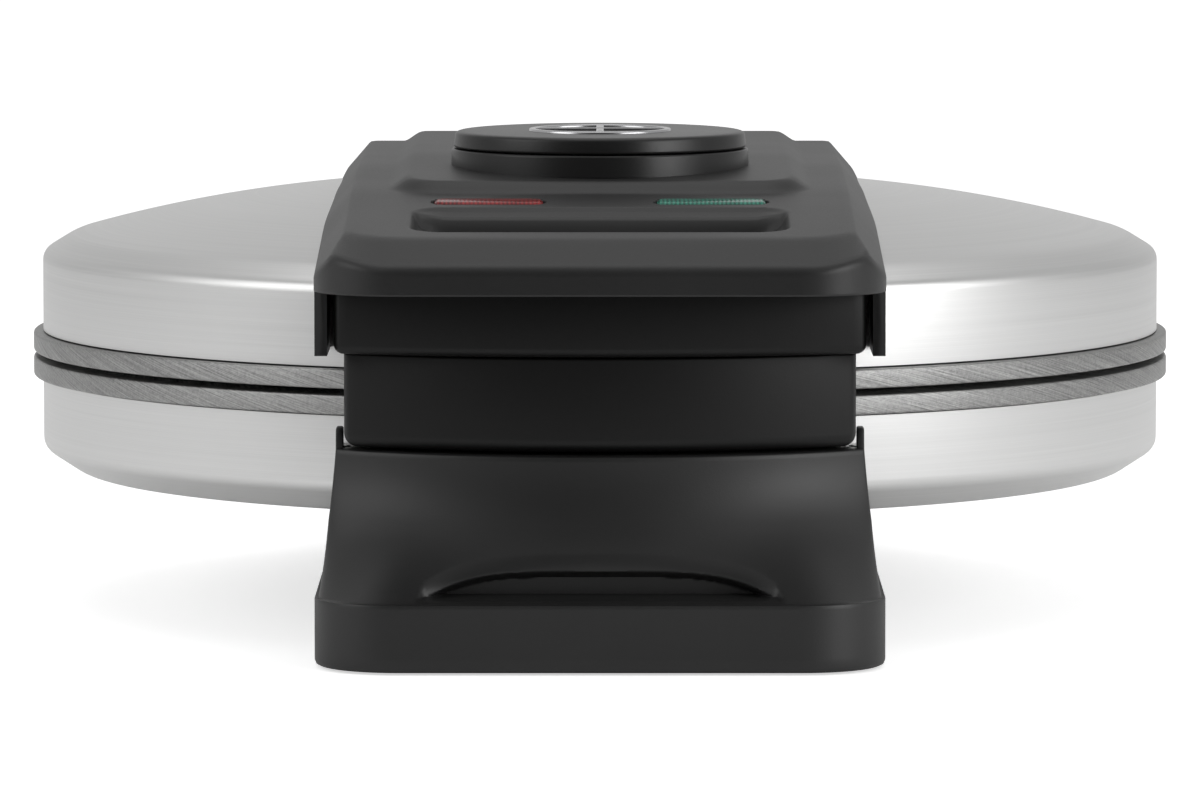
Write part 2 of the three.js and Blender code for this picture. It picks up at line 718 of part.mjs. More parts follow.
function thumbRecess() {
  const wedge = across(outline([
    [-recessFrontY, bandTopZ + 4],
    [-recessFrontY, slopeTopZ + recessLift - recessDepth, 1],
    [-recessFrontY + recessFloorLength, slopeTopZ + recessLift - recessDepth, 1],
    [-recessBackY, bandFrontTopZ - recessBackDepth],
    [-recessBackY, bandTopZ + 4],
  ]), -recessHalfWidth, recessHalfWidth);
  return wedge.intersect(standing(outline([
    [-recessHalfWidth, -recessFrontY, recessCorner],
    [recessHalfWidth, -recessFrontY, recessCorner],
    [recessHalfWidth, -recessBackY, recessCorner],
    [-recessHalfWidth, -recessBackY, recessCorner],
  ]), lidBottom, cutterTop));
}

// Height of the band's upper face at the lamps.
const bandSlope = (bandFrontTopZ - slopeTopZ) / (slopeTopY - bandFrontTopY);
const lensSeatZ = bandFrontTopZ - (lensY - bandFrontTopY) * bandSlope;

function lens(side) {
  const ends = [side * (lensInnerX + fit), side * (lensOuterX - fit)].sort((a, b) => a - b);
  const plan = (grow) => outline([
    [ends[0] - grow, -lensY - lensWidth / 2 - grow, 2],
    [ends[1] + grow, -lensY - lensWidth / 2 - grow, 2],
    [ends[1] + grow, -lensY + lensWidth / 2 + grow, 2],
    [ends[0] - grow, -lensY + lensWidth / 2 + grow, 2],
  ]);
  return {
    piece: standing(plan(0), lensSeatZ - lensDepth, lensSeatZ + lensProud, 3),
    hole: standing(plan(fit), lidBottom, cutterTop, 3),
  };
}

// Lamps stand in their holder with their tops just under the lenses.
const lampTop = lensSeatZ - lensDepth - fit;
const lampX = (lensInnerX + lensOuterX) / 2;
const holderTop = lampTop - lampHeight - fit;

function lampHolder() {
  const plateTop = holderTop - 1;
  const half = lensOuterX - fit;
  let holder = box(
    -half, half, -lensY - holderHalfDepth, -lensY + holderHalfDepth, plateTop - holderPlate, plateTop,
  );
  for (const side of [-1, 1]) {
    holder = holder.add(disc(holderSocketRadius, plateTop - 1, holderTop, side * lampX, -lensY, 16));
  }
  return holder;
}

const lamp = (side) => disc(lampRadius, lampTop - lampHeight, lampTop, side * lampX, -lensY, 16);

function lidHousing() {
  const plan = standing(bandPlan(0), gripUnderside - 1, cutterTop);
  let body = across(housingSide(0), -bandHalfWidth, bandHalfWidth)
    .intersect(along(housingFront(), -frontReach, frontReach))
    .intersect(plan);
  const tongue = across(outline([
    [-tongueFrontY, bandFrontTopZ - 4],
    [-tongueFrontY, bandFrontTopZ - 0.4],
    [-tongueFrontY + tongueNoseLength, tongueFrontTop, 3],
    [tongueRearY - tongueCrownLength, tongueTop, 8],
    [tongueRearY, tongueTop, 6],
    [tongueRearY + tongueTailLength, bandTopZ - 3],
    [0, bandTopZ - 5],
  ]), -tongueHalfWidth, tongueHalfWidth);
  body = body.add(tongue);
  // The hollow grip: open below, its roof and lip one wall thick.
  const innerHalf = bandHalfWidth - plasticWall;
  const hollowFloor = gripUnderside - 3;
  const gripHollow = across(housingSide(plasticWall), -innerHalf, innerHalf)
    .intersect(standing(bandPlan(plasticWall), hollowFloor, cutterTop))
    .intersect(box(-innerHalf, innerHalf, -frontReach, -bevelRadius + lap, hollowFloor, cutterTop));
  const recess = thumbRecess();
  const recessKeeper = across(outline([
    [-recessFrontY - plasticWall, cutterTop],
    [-recessFrontY - plasticWall, slopeTopZ - recessDepth - 1.6],
    [-recessFrontY + recessFloorLength, slopeTopZ - recessDepth - 1.6],
    [-recessBackY + 2, bandFrontTopZ - 4],
    [-recessBackY + 2, cutterTop],
  ]), -recessHalfWidth - 2, recessHalfWidth + 2);
  body = body.subtract(gripHollow.subtract(recessKeeper)).subtract(recess);
  // Skirt down both sides of the grip, and the rear neck down to the hinge knuckle.
  for (const side of [-1, 1]) {
    const outer = bandHalfWidth - skirtInset;
    const ends = [side * (outer - skirtWall), side * outer].sort((a, b) => a - b);
    const skirtEnds = [-frontReach + cornerRadius, -plateRadius + skirtReach];
    body = body.add(box(...ends, ...skirtEnds, skirtBottom, gripUnderside + lap));
  }
  const rearSkirt = standing(outline([
    [-bandHalfWidth + skirtInset, plateRadius - rearSkirtReach],
    [bandHalfWidth - skirtInset, plateRadius - rearSkirtReach],
    [bandHalfWidth - skirtInset, bandRearY, rearCorner],
    [-bandHalfWidth + skirtInset, bandRearY, rearCorner],
  ]), skirtBottom, gripUnderside + 1);
  body = body.add(rearSkirt).add(rearNeck())
    .subtract(lidForm(fit, lidBottom - 6))
    .subtract(disc(plateRadius + 2 * fit, 0, lidBottom, 0, 0, roundSegments));
  for (const side of [-1, 1]) body = body.subtract(lens(side).hole);
  body = body.subtract(box(
    -lensOuterX, lensOuterX, -lensY - holderHalfDepth - fit, -lensY + holderHalfDepth + fit,
    lidBottom, lensSeatZ - 1.6,
  ));
  const pinHoleEnd = knuckleHalfWidth - pinSeat - 1;
  body = body.subtract(rodX(pinRadius + fit, -bandHalfWidth, -pinHoleEnd, hingeY, joinHeight));
  body = body.subtract(rodX(pinRadius + fit, pinHoleEnd, bandHalfWidth, hingeY, joinHeight));
  body = body.subtract(disc(collarRadius + fit, collarBottom - fit, cutterTop, 0, -dialY, dialSegments));
  return body.subtract(disc(shaftRadius + shaftClearance, lidBottom, cutterTop, 0, -dialY, 20));
}

function rearNeck() {
  const neck = across(outline([
    [bevelRadius - neckFrontInset, bandShoulderZ - 2],
    [bandRearY - 8, bandRearTop + 1],
    [bandRearY, bandRearTop - 1],
    [hingeY + knuckleRadius, joinHeight + neckBackRise, neckBackCorner],
    [hingeY + knuckleRadius, joinHeight],
    [hingeY - knuckleRadius, joinHeight],
    [plateRadius - 1, lidBottom + 2],
    [bevelRadius - neckFrontInset, lidBevelTop - 2],
  ]), -knuckleHalfWidth, knuckleHalfWidth);
  return neck.add(rodX(knuckleRadius, -knuckleHalfWidth, knuckleHalfWidth, hingeY, joinHeight, 32));
}

// Inner front wall of the grip, between the lip above and the guard below.
function gripLiner() {
  const top = gripUnderside - fit;
  const clear = disc(plateRadius + 3 * fit, 0, cutterTop, 0, 0, roundSegments);
  const bottom = skirtBottom + fit;
  const plan = bowedPlan(linerHalfWidth, linerReach, linerBulge, plateRadius - linerBack);
  const block = standing(plan, bottom, top, 12);
  const pocket = standing(
    bowedPlan(linerHalfWidth - plasticWall, linerReach - plasticWall, linerBulge, plateRadius - pocketBack),
    bottom + plasticWall, top + 1, 12,
  ).subtract(disc(plateRadius + 3 * fit + plasticWall, 0, cutterTop, 0, 0, roundSegments));
  let liner = block.subtract(clear).subtract(pocket);
  for (const side of [-1, 1]) liner = liner.subtract(guardScrewHole(side));
  return liner;
}

// Hole for the shank, and above the liner's floor room for the head.
const guardScrewSeat = skirtBottom + plasticWall + 2 * fit;
function guardScrewHole(side) {
  const [x, y] = [side * guardScrewX, -guardScrewY];
  return disc(screwRadius + fit, skirtBottom - 4, skirtBottom + 6, x, y, 12)
    .add(disc(guardScrewHeadRadius + fit, guardScrewSeat - fit, gripUnderside, x, y, 16));
}

// Guard that closes the front over both plates' rims and lifts with the lid.
function frontGuard() {
  const clear = disc(plateRadius + 3 * fit, 0, cutterTop, 0, 0, roundSegments);
  const plan = bowedPlan(guardHalfWidth, guardReach, guardBulge, plateRadius - guardBack);
  const corners = along(outline([
    [-guardHalfWidth, skirtBottom],
    [-guardHalfWidth, guardBottom, guardCorner],
    [guardHalfWidth, guardBottom, guardCorner],
    [guardHalfWidth, skirtBottom],
  ]), -frontReach, 0);
  const pocket = standing(
    bowedPlan(guardHalfWidth - plasticWall, guardReach - plasticWall, guardBulge, plateRadius - pocketBack),
    guardBottom + plasticWall, skirtBottom - plasticWall, 12,
  ).subtract(disc(plateRadius + 3 * fit + 2, 0, cutterTop, 0, 0, roundSegments))
    .subtract(box(-guardRibHalfWidth, guardRibHalfWidth, -frontReach, 0, 0, cutterTop));
  let guard = standing(plan, guardBottom, skirtBottom, 12)
    .subtract(clear)
    .intersect(corners)
    .subtract(pocket);
  for (const side of [-1, 1]) {
    const ends = [side * guardSlotInnerX, side * guardSlotOuterX].sort((a, b) => a - b);
    guard = guard.subtract(box(
      ends[0], ends[1], -plateRadius - guardSlotDepth, 0,
      guardBottom + guardSlotMargin, skirtBottom - guardSlotMargin,
    ));
    guard = guard.subtract(guardScrewHole(side));
  }
  return guard;
}

function guardScrew(side) {
  const seat = guardScrewSeat;
  return disc(guardScrewHeadRadius, seat, seat + guardScrewHeadHeight, side * guardScrewX, -guardScrewY, 16)
    .add(disc(screwRadius, skirtBottom - 1.8, seat + 1, side * guardScrewX, -guardScrewY, 12));
}

// ---- Dial and thermostat ---------------------------------------------------------------------------
function dial() {
  const cap = turned([
    [shaftRadius + fit, dialBottom],
    [dialRadius - 0.6, dialBottom],
    [dialRadius, dialBottom + 0.5],
    [dialRadius - 0.4, dialTop - 0.6],
    [dialRadius - 1.4, dialTop],
    [0, dialTop],
    [0, dialTop - shaftSocketRoof],
    [shaftRadius + fit, dialTop - shaftSocketRoof],
  ], 0, -dialY, dialSegments);
  return cap;
}

// A plain ring crossed by two bars on the dial's top.
function dialBadge() {
  const low = badgeTop - badgeHeight;
  const inner = badgeRadius - badgeRingWidth;
  const section = [[inner, low], [badgeRadius, low], [badgeRadius, badgeTop], [inner, badgeTop]];
  const ring = turned(section, 0, -dialY, 32);
  const half = badgeBarWidth / 2;
  const bars = box(-inner - half, inner + half, -dialY - half, -dialY + half, low, badgeTop)
    .add(box(-half, half, -dialY - inner - half, -dialY + inner + half, low, badgeTop));
  return ring.add(bars);
}

function dialCollar() {
  return turned([
    [shaftRadius + shaftClearance, collarBottom],
    [collarRadius, collarBottom],
    [collarRadius - 0.2, collarTop],
    [shaftRadius + shaftClearance, collarTop],
  ], 0, -dialY, dialSegments);
}

const dialShaft = () =>
  disc(shaftRadius, thermostatTop + fit, dialTop - shaftSocketRoof - fit, 0, -dialY, 20);

const thermostatFloor = joinHeight + fit / 2 + bowlDepth + plateWall + fit;
function thermostat() {
  const bodyTop = thermostatTop - thermostatBodyDrop;
  return disc(thermostatRadius, thermostatFloor, bodyTop, 0, -dialY, 32)
    .add(disc(thermostatNeckRadius, bodyTop - 1, thermostatTop, 0, -dialY, 20));
}

function thermalFuse() {
  const z = joinHeight + stackHeight + fit + fuseLift;
  return rodX(fuseRadius, -fuseHalfLength, fuseHalfLength, fuseY, z, 16);
}

// ---- Assembly ------------------------------------------------------------------------------------------
function buildBase() {
  const base = new THREE.Group();
  addMesh(base, 'base_housing', blackPlastic, baseHousing());
  addMesh(base, 'base_cover', blackPlastic, baseCover());
  addMesh(base, 'lower_pan', brushedSteel, lowerPan());
  addMesh(base, 'lower_grid_plate', castAluminium, gridPlate(-1));
  addMesh(base, 'lower_heating_element', heaterSkin, heatingElement(-1));
  addMesh(base, 'lower_heat_shield', plainSteel, heatShield(-1));
  addMesh(base, 'terminal_block', ceramic, terminalBlock());
  addMesh(base, 'cord_gland', rubber, cordGland());
  for (const [name, x, y] of footPlaces()) addMesh(base, `foot_${name}`, rubber, footPad(x, y));
  coverScrewPlaces().forEach(([x, y], i) => {
    addMesh(base, `cover_screw_${i + 1}`, plainSteel, coverScrew(x, y));
  });
  addMesh(base, 'hinge_pin_left', plainSteel, hingePin(-1));
  addMesh(base, 'hinge_pin_right', plainSteel, hingePin(1));
  return base;
}

function buildLid() {
  const lid = new THREE.Group();
  addMesh(lid, 'lid_shell', brushedSteel, lidShell());
  addMesh(lid, 'upper_grid_plate', castAluminium, gridPlate(1));
  addMesh(lid, 'upper_heating_element', heaterSkin, heatingElement(1));
  addMesh(lid, 'upper_heat_shield', plainSteel, heatShield(1).subtract(
    disc(thermostatRadius + 2 * fit, lidBottom, cutterTop, 0, -dialY, 32),
  ));
  addMesh(lid, 'lid_housing', blackPlastic, lidHousing());
  addMesh(lid, 'grip_liner', blackPlastic, gripLiner());
  addMesh(lid, 'front_guard', blackPlastic, frontGuard());
  addMesh(lid, 'guard_screw_left', plainSteel, guardScrew(-1));
  addMesh(lid, 'guard_screw_right', plainSteel, guardScrew(1));
  addMesh(lid, 'power_lens', redLens, lens(-1).piece);
  addMesh(lid, 'ready_lens', greenLens, lens(1).piece);
  addMesh(lid, 'power_lamp', lampGlass, lamp(-1));
  addMesh(lid, 'ready_lamp', lampGlass, lamp(1));
  addMesh(lid, 'lamp_holder', ceramic, lampHolder());
  addMesh(lid, 'thermostat', ceramic, thermostat());
  addMesh(lid, 'thermal_fuse', plainSteel, thermalFuse());
  addMesh(lid, 'dial_collar', blackPlastic, dialCollar());
  return lid;
}

function buildDial() {
  const knob = new THREE.Group();
  addMesh(knob, 'dial', blackPlastic, dial());
  addMesh(knob, 'dial_badge', plainSteel, dialBadge());
  addMesh(knob, 'dial_shaft', plainSteel, dialShaft());
  return knob;
}

const waffleMaker = new THREE.Group();
waffleMaker.add(buildBase(), buildLid(), buildDial());

export default waffleMaker;
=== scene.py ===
import json
import math

import bpy
import numpy as np
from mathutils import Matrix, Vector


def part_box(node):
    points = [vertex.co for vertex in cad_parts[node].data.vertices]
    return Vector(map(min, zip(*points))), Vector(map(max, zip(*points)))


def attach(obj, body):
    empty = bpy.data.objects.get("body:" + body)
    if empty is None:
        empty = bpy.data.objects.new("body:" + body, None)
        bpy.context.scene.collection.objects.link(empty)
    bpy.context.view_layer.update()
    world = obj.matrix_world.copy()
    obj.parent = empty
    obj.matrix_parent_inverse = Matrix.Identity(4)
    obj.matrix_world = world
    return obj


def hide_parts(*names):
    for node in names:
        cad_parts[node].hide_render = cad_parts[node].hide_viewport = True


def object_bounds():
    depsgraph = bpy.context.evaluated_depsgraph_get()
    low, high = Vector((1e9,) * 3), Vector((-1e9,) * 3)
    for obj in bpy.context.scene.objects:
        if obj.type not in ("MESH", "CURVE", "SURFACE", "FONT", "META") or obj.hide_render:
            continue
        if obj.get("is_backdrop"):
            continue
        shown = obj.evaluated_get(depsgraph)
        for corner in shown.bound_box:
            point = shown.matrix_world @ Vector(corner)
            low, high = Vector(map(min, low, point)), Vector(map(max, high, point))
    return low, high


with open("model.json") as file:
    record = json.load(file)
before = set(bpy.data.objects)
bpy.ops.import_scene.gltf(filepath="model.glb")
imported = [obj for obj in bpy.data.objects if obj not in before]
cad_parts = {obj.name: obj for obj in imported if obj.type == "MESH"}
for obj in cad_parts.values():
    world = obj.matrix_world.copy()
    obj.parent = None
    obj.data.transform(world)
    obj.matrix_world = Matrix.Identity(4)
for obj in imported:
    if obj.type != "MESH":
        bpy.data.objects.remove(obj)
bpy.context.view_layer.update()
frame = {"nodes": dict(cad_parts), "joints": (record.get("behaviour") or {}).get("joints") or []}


# ---- Camera -----------------------------------------------------------------------------------
# Straight in front of the grip, a little above it, far off, so that the body keeps its true proportions.
CAMERA_DISTANCE = 1.590
CAMERA_HEIGHT = 0.1751
CAMERA_DOWN = math.radians(4.983)

camera_data = bpy.data.cameras.new("front_camera")
camera_data.lens = 255.0
camera_data.sensor_width = 36.0
camera_data.clip_end = 20.0
camera = bpy.data.objects.new("front_camera", camera_data)
camera.location = (0.0, -CAMERA_DISTANCE, CAMERA_HEIGHT)
camera.rotation_euler = (math.pi / 2 - CAMERA_DOWN, 0.0, 0.0)
bpy.context.collection.objects.link(camera)
bpy.context.scene.camera = camera


# ---- Studio -----------------------------------------------------------------------------------
# A wide white floor, large soft lights at both sides and above, a reflector low down at either side, and a
# darker room in front.
def studio_floor():
    """A white floor that glows for the camera and much less for the appliance. Its front edge is not far in
    front of the grip, below the picture."""
    half, front = 6.0, -0.34
    mesh = bpy.data.meshes.new("floor")
    corners = [(-half, front, 0), (half, front, 0), (half, half, 0), (-half, half, 0)]
    mesh.from_pydata(corners, [], [(0, 1, 2, 3)])
    floor = bpy.data.objects.new("floor", mesh)
    bpy.context.collection.objects.link(floor)
    material = bpy.data.materials.new("pale_floor")
    material.use_nodes = True
    shader = material.node_tree.nodes["Principled BSDF"]
    shader.inputs["Base Color"].default_value = (0.93, 0.93, 0.93, 1)
    shader.inputs["Roughness"].default_value = 0.9
    shader.inputs["Specular IOR Level"].default_value = 0.1
    shader.inputs["Emission Color"].default_value = (1, 1, 1, 1)
    nodes, join = material.node_tree.nodes, material.node_tree.links.new
    rays = nodes.new("ShaderNodeLightPath")
    glow = nodes.new("ShaderNodeMath")
    glow.operation = "MULTIPLY_ADD"
    glow.inputs[1].default_value = 0.50
    glow.inputs[2].default_value = 0.10
    join(rays.outputs["Is Camera Ray"], glow.inputs[0])
    join(glow.outputs[0], shader.inputs["Emission Strength"])
    mesh.materials.append(material)
    floor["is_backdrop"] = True


def soft_light(name, place, target, width, height, power):
    """A rectangular light at place that points at target; metres and watts."""
    data = bpy.data.lights.new(name, "AREA")
    data.shape = "RECTANGLE"
    data.size = width
    data.size_y = height
    data.energy = power
    lamp = bpy.data.objects.new(name, data)
    lamp.location = place
    aim = [t - p for t, p in zip(target, place)]
    flat = math.hypot(aim[0], aim[1])
    lamp.rotation_euler = (math.atan2(flat, -aim[2]), 0.0, math.atan2(aim[1], aim[0]) - math.pi / 2)
    bpy.context.collection.objects.link(lamp)


def room_glow():
    """White all round for the camera. For the surfaces: brightest straight behind the appliance, even grey at
    the sides, dim in front."""
    world = bpy.data.worlds.new("soft_room")
    world.use_nodes = True
    bpy.context.scene.world = world
    tree = world.node_tree
    tree.nodes.clear()
    add = tree.nodes.new
    direction = add("ShaderNodeTexCoord")
    split = add("ShaderNodeSeparateXYZ")
    ramp = add("ShaderNodeValToRGB")
    shift = add("ShaderNodeMath")
    shift.operation = "MULTIPLY_ADD"
    shift.inputs[1].default_value = 0.5
    shift.inputs[2].default_value = 0.5
    ramp.color_ramp.elements[0].position = 0.06
    ramp.color_ramp.elements[0].color = (0.05, 0.05, 0.05, 1)
    ramp.color_ramp.elements[1].position = 0.30
    ramp.color_ramp.elements[1].color = (0.50, 0.50, 0.50, 1)
    for position, grey in ((0.88, 0.50), (0.98, 0.64)):
        ramp.color_ramp.elements.new(position).color = (grey, grey, grey, 1)
    rays = add("ShaderNodeLightPath")
    mix = add("ShaderNodeMix")
    mix.data_type = "RGBA"
    mix.inputs["B"].default_value = (1, 1, 1, 1)
    sky = add("ShaderNodeBackground")
    out = add("ShaderNodeOutputWorld")
    join = tree.links.new
    join(direction.outputs["Generated"], split.inputs[0])
    join(split.outputs["Y"], shift.inputs[0])
    join(shift.outputs[0], ramp.inputs[0])
    join(ramp.outputs[0], mix.inputs["A"])
    join(rays.outputs["Is Camera Ray"], mix.inputs["Factor"])
    join(mix.outputs["Result"], sky.inputs["Color"])
    join(sky.outputs[0], out.inputs[0])


studio_floor()
room_glow()
soft_light("left_softbox", (-1.5, -0.6, 0.9), (0, 0, 0.05), 1.2, 1.2, 5)
soft_light("right_softbox", (1.4, -0.9, 0.65), (0, 0, 0.05), 1.2, 1.2, 8)
soft_light("right_reflector", (0.86, -0.72, 0.25), (0, -0.1, 0.04), 0.45, 0.35, 1.8)
soft_light("left_reflector", (-0.95, -0.60, 0.45), (0, -0.1, 0.04), 0.7, 0.6, 0.7)
soft_light("top_softbox", (0, 0.2, 1.9), (0, 0, 0.05), 1.6, 1.4, 6)
bpy.context.scene.view_settings.view_transform = "Standard"


# ---- Steel lid ----------------------------------------------------------------------------------
# Drawn from one sheet of stainless steel 0.8 mm thick: a shallow dome, a short bevel and an upright wall.
# It is brushed round its axis. Its foot stands on the upper plate's rim.
mm = 0.001
STEEL = 0.8
LONGEST_CUT = 0.48


def filleted(corners, steps=6):
    """Corners (u, v, radius) joined by straight lines, each corner replaced by a quadratic arc that
    leaves and meets the two sides a radius away from the corner, or LONGEST_CUT of a side if it is short."""
    points = []
    count = len(corners)
    for i, (u, v, radius) in enumerate(corners):
        here = np.array((u, v))
        if radius <= 0:
            points.append(here[None])
            continue
        before = np.array(corners[i - 1][:2]) - here
        after = np.array(corners[(i + 1) % count][:2]) - here
        start = here + before / np.linalg.norm(before) * min(radius, LONGEST_CUT * np.linalg.norm(before))
        end = here + after / np.linalg.norm(after) * min(radius, LONGEST_CUT * np.linalg.norm(after))
        t = np.linspace(0, 1, steps)[:, None]
        points.append((1 - t) ** 2 * start + 2 * t * (1 - t) * here + t ** 2 * end)
    return np.concatenate(points)


def volume_of(points, quads):
    """Signed volume that the quads enclose: negative where they face inward."""
    a, b, c, d = (points[quads[:, k]] for k in range(4))
    return (np.einsum("ij,ij->i", a, np.cross(b, c)) + np.einsum("ij,ij->i", a, np.cross(c, d))).sum() / 6


def grid_faces(rows, columns, close_rows, close_columns):
    """Quads between neighbouring points of a rows by columns grid, wrapping where it closes."""
    r = np.arange(rows if close_rows else rows - 1)
    c = np.arange(columns if close_columns else columns - 1)
    r, c = np.meshgrid(r, c, indexing="ij")
    r1, c1 = (r + 1) % rows, (c + 1) % columns
    quads = np.stack([r * columns + c, r * columns + c1, r1 * columns + c1, r1 * columns + c], -1)
    return quads.reshape(-1, 4)


def make_piece(name, grids, material, outward=None, smooth_angle=40):
    """One object from several grids of points in millimetres. A grid is (points, close_rows, close_columns).
    Points closer than a micrometre are one; a quad that loses a side there becomes a triangle."""
    all_points, all_quads, start = [], [], 0
    for points, close_rows, close_columns in grids:
        rows, columns = points.shape[:2]
        flat = points.reshape(-1, 3)
        quads = grid_faces(rows, columns, close_rows, close_columns)
        turned = volume_of(flat - flat.mean(0), quads) < 0 if outward is None else not outward
        if turned:
            quads = quads[:, ::-1]
        all_points.append(flat)
        all_quads.append(quads + start)
        start += len(flat)
    points = np.concatenate(all_points)
    quads = np.concatenate(all_quads)
    _, first, same = np.unique(np.round(points, 3), axis=0, return_index=True, return_inverse=True)
    quads = same.reshape(-1)[quads]
    points = points[first]
    distinct = np.array([quads[:, k] != quads[:, (k + 1) % 4] for k in range(4)]).T
    corners = distinct.sum(1)
    whole = quads[(corners == 4) & (quads[:, 0] != quads[:, 2]) & (quads[:, 1] != quads[:, 3])]
    short = corners == 3
    faces = whole.tolist() + quads[short][distinct[short]].reshape(-1, 3).tolist()
    mesh = bpy.data.meshes.new(name)
    mesh.from_pydata((points * mm).tolist(), [], faces)
    mesh.update()
    piece = bpy.data.objects.new(name, mesh)
    bpy.context.collection.objects.link(piece)
    mesh.materials.append(material)
    mesh.shade_smooth()
    mesh.set_sharp_from_angle(angle=math.radians(smooth_angle))
    return piece


def turned_grid(profile, centre=(0.0, 0.0), segments=256):
    """A closed profile of (radius, height) carried once round the upright line through centre."""
    angle = np.linspace(0, 2 * np.pi, segments, endpoint=False)
    r, z = profile[:, 0][:, None], profile[:, 1][:, None]
    x = centre[0] + r * np.cos(angle)
    y = centre[1] + r * np.sin(angle)
    return np.stack([x, y, np.broadcast_to(z, x.shape)], -1), True, True


def new_group(name, inputs, outputs):
    """An empty shader node group with named float sockets: inputs are (label, value), outputs are labels."""
    group = bpy.data.node_groups.new(name, "ShaderNodeTree")
    for label, value in inputs:
        socket = group.interface.new_socket(name=label, in_out="INPUT", socket_type="NodeSocketFloat")
        socket.default_value = value
    for label in outputs:
        group.interface.new_socket(name=label, in_out="OUTPUT", socket_type="NodeSocketFloat")
    return group, group.nodes.new("NodeGroupInput"), group.nodes.new("NodeGroupOutput")


def math_node(tree, operation, a, b=None, c=None):
    node = tree.nodes.new("ShaderNodeMath")
    node.operation = operation
    for socket, value in zip(node.inputs, (a, b, c)):
        if value is None:
            continue
        if isinstance(value, (int, float)):
            socket.default_value = value
        else:
            tree.links.new(value, socket)
    return node.outputs[0]


def noise(tree, vector, scale, detail=2.0, roughness=0.5):
    node = tree.nodes.new("ShaderNodeTexNoise")
    node.inputs["Scale"].default_value = scale
    node.inputs["Detail"].default_value = detail
    node.inputs["Roughness"].default_value = roughness
    tree.links.new(vector, node.inputs["Vector"])
    return node.outputs["Fac"]


def round_brushing():
    """Brush lines that run round the upright axis: noise along the radius and the height that hardly changes
    with the angle, in a fine and a coarse layer, plus faint stains."""
    tree, given, out = new_group("round_brushing", [("Lines per metre", 9000.0)], ["Line", "Stain"])
    place = tree.nodes.new("ShaderNodeTexCoord").outputs["Object"]
    split = tree.nodes.new("ShaderNodeSeparateXYZ")
    tree.links.new(place, split.inputs[0])
    x, y, z = split.outputs
    square_x = math_node(tree, "MULTIPLY", x, x)
    square_y = math_node(tree, "MULTIPLY", y, y)
    radius = math_node(tree, "SQRT", math_node(tree, "ADD", square_x, square_y))
    outward = math_node(tree, "ADD", radius, math_node(tree, "MULTIPLY", z, 0.9))
    around = tree.nodes.new("ShaderNodeCombineXYZ")
    tree.links.new(math_node(tree, "MULTIPLY", outward, given.outputs["Lines per metre"]), around.inputs[0])
    tree.links.new(math_node(tree, "MULTIPLY", x, 14.0), around.inputs[1])
    tree.links.new(math_node(tree, "MULTIPLY", y, 14.0), around.inputs[2])
    fine = noise(tree, around.outputs[0], 1.0, 3.0, 0.65)
    wide = noise(tree, around.outputs[0], 0.13, 2.0, 0.5)
    line = math_node(tree, "MULTIPLY_ADD", wide, 0.4, math_node(tree, "MULTIPLY", fine, 0.6))
    tree.links.new(line, out.inputs["Line"])
    tree.links.new(noise(tree, place, 16.0, 3.0, 0.55), out.inputs["Stain"])
    return tree


def group_node(tree, group, **values):
    node = tree.nodes.new("ShaderNodeGroup")
    node.node_tree = group
    for label, value in values.items():
        node.inputs[label.replace("_", " ")].default_value = value
    return node


def ramp(tree, factor, stops):
    """Colour by factor: stops are (position, (r, g, b))."""
    node = tree.nodes.new("ShaderNodeValToRGB")
    elements = node.color_ramp.elements
    while len(elements) < len(stops):
        elements.new(0.5)
    for element, (position, colour) in zip(elements, stops):
        element.position = position
        element.color = (*colour, 1)
    tree.links.new(factor, node.inputs[0])
    return node.outputs[0]


def bump(tree, height, distance, strength=1.0):
    node = tree.nodes.new("ShaderNodeBump")
    node.inputs["Distance"].default_value = distance
    node.inputs["Strength"].default_value = strength
    tree.links.new(height, node.inputs["Height"])
    return node.outputs[0]


def shader_of(name):
    material = bpy.data.materials.new(name)
    material.use_nodes = True
    tree = material.node_tree
    return material, tree, tree.nodes["Principled BSDF"]


ROUND_BRUSHING = round_brushing()


def brushed_steel():
    material, tree, shader = shader_of("brushed_stainless")
    brushed = group_node(tree, ROUND_BRUSHING, Lines_per_metre=7000.0)
    shade = ramp(tree, brushed.outputs["Line"], [(0.25, (0.70, 0.70, 0.695)), (0.75, (0.79, 0.79, 0.785))])
    rough = math_node(tree, "MULTIPLY_ADD", brushed.outputs["Line"], 0.10,
                      math_node(tree, "MULTIPLY_ADD", brushed.outputs["Stain"], 0.06, 0.29))
    tree.links.new(shade, shader.inputs["Base Color"])
    tree.links.new(rough, shader.inputs["Roughness"])
    tree.links.new(bump(tree, brushed.outputs["Line"], 0.00002, 0.25), shader.inputs["Normal"])
    shader.inputs["Metallic"].default_value = 1.0
    shader.inputs["Anisotropic"].default_value = 0.35
    return material


BRUSHED_STEEL = brushed_steel()
LID_WALL_RADIUS = 104.2
LID_BEVEL_RADIUS = 98.5
LID_BEVEL_FOOT = 65.0
LID_BEVEL_HEAD = 68.5
DOME_SHOULDER = 51.0


def dome_height(r):
    """Outside height of the steel lid at radius r: 79 - 0.000769 r^2 up to the shoulder, and with
    s = r - shoulder, 77 - 0.078 s - 0.00213 s^2 beyond it."""
    beyond = r - DOME_SHOULDER
    return np.where(beyond < 0, 79.0 - 7.69e-4 * r ** 2, 77.0 - 0.078 * beyond - 0.00213 * beyond ** 2)


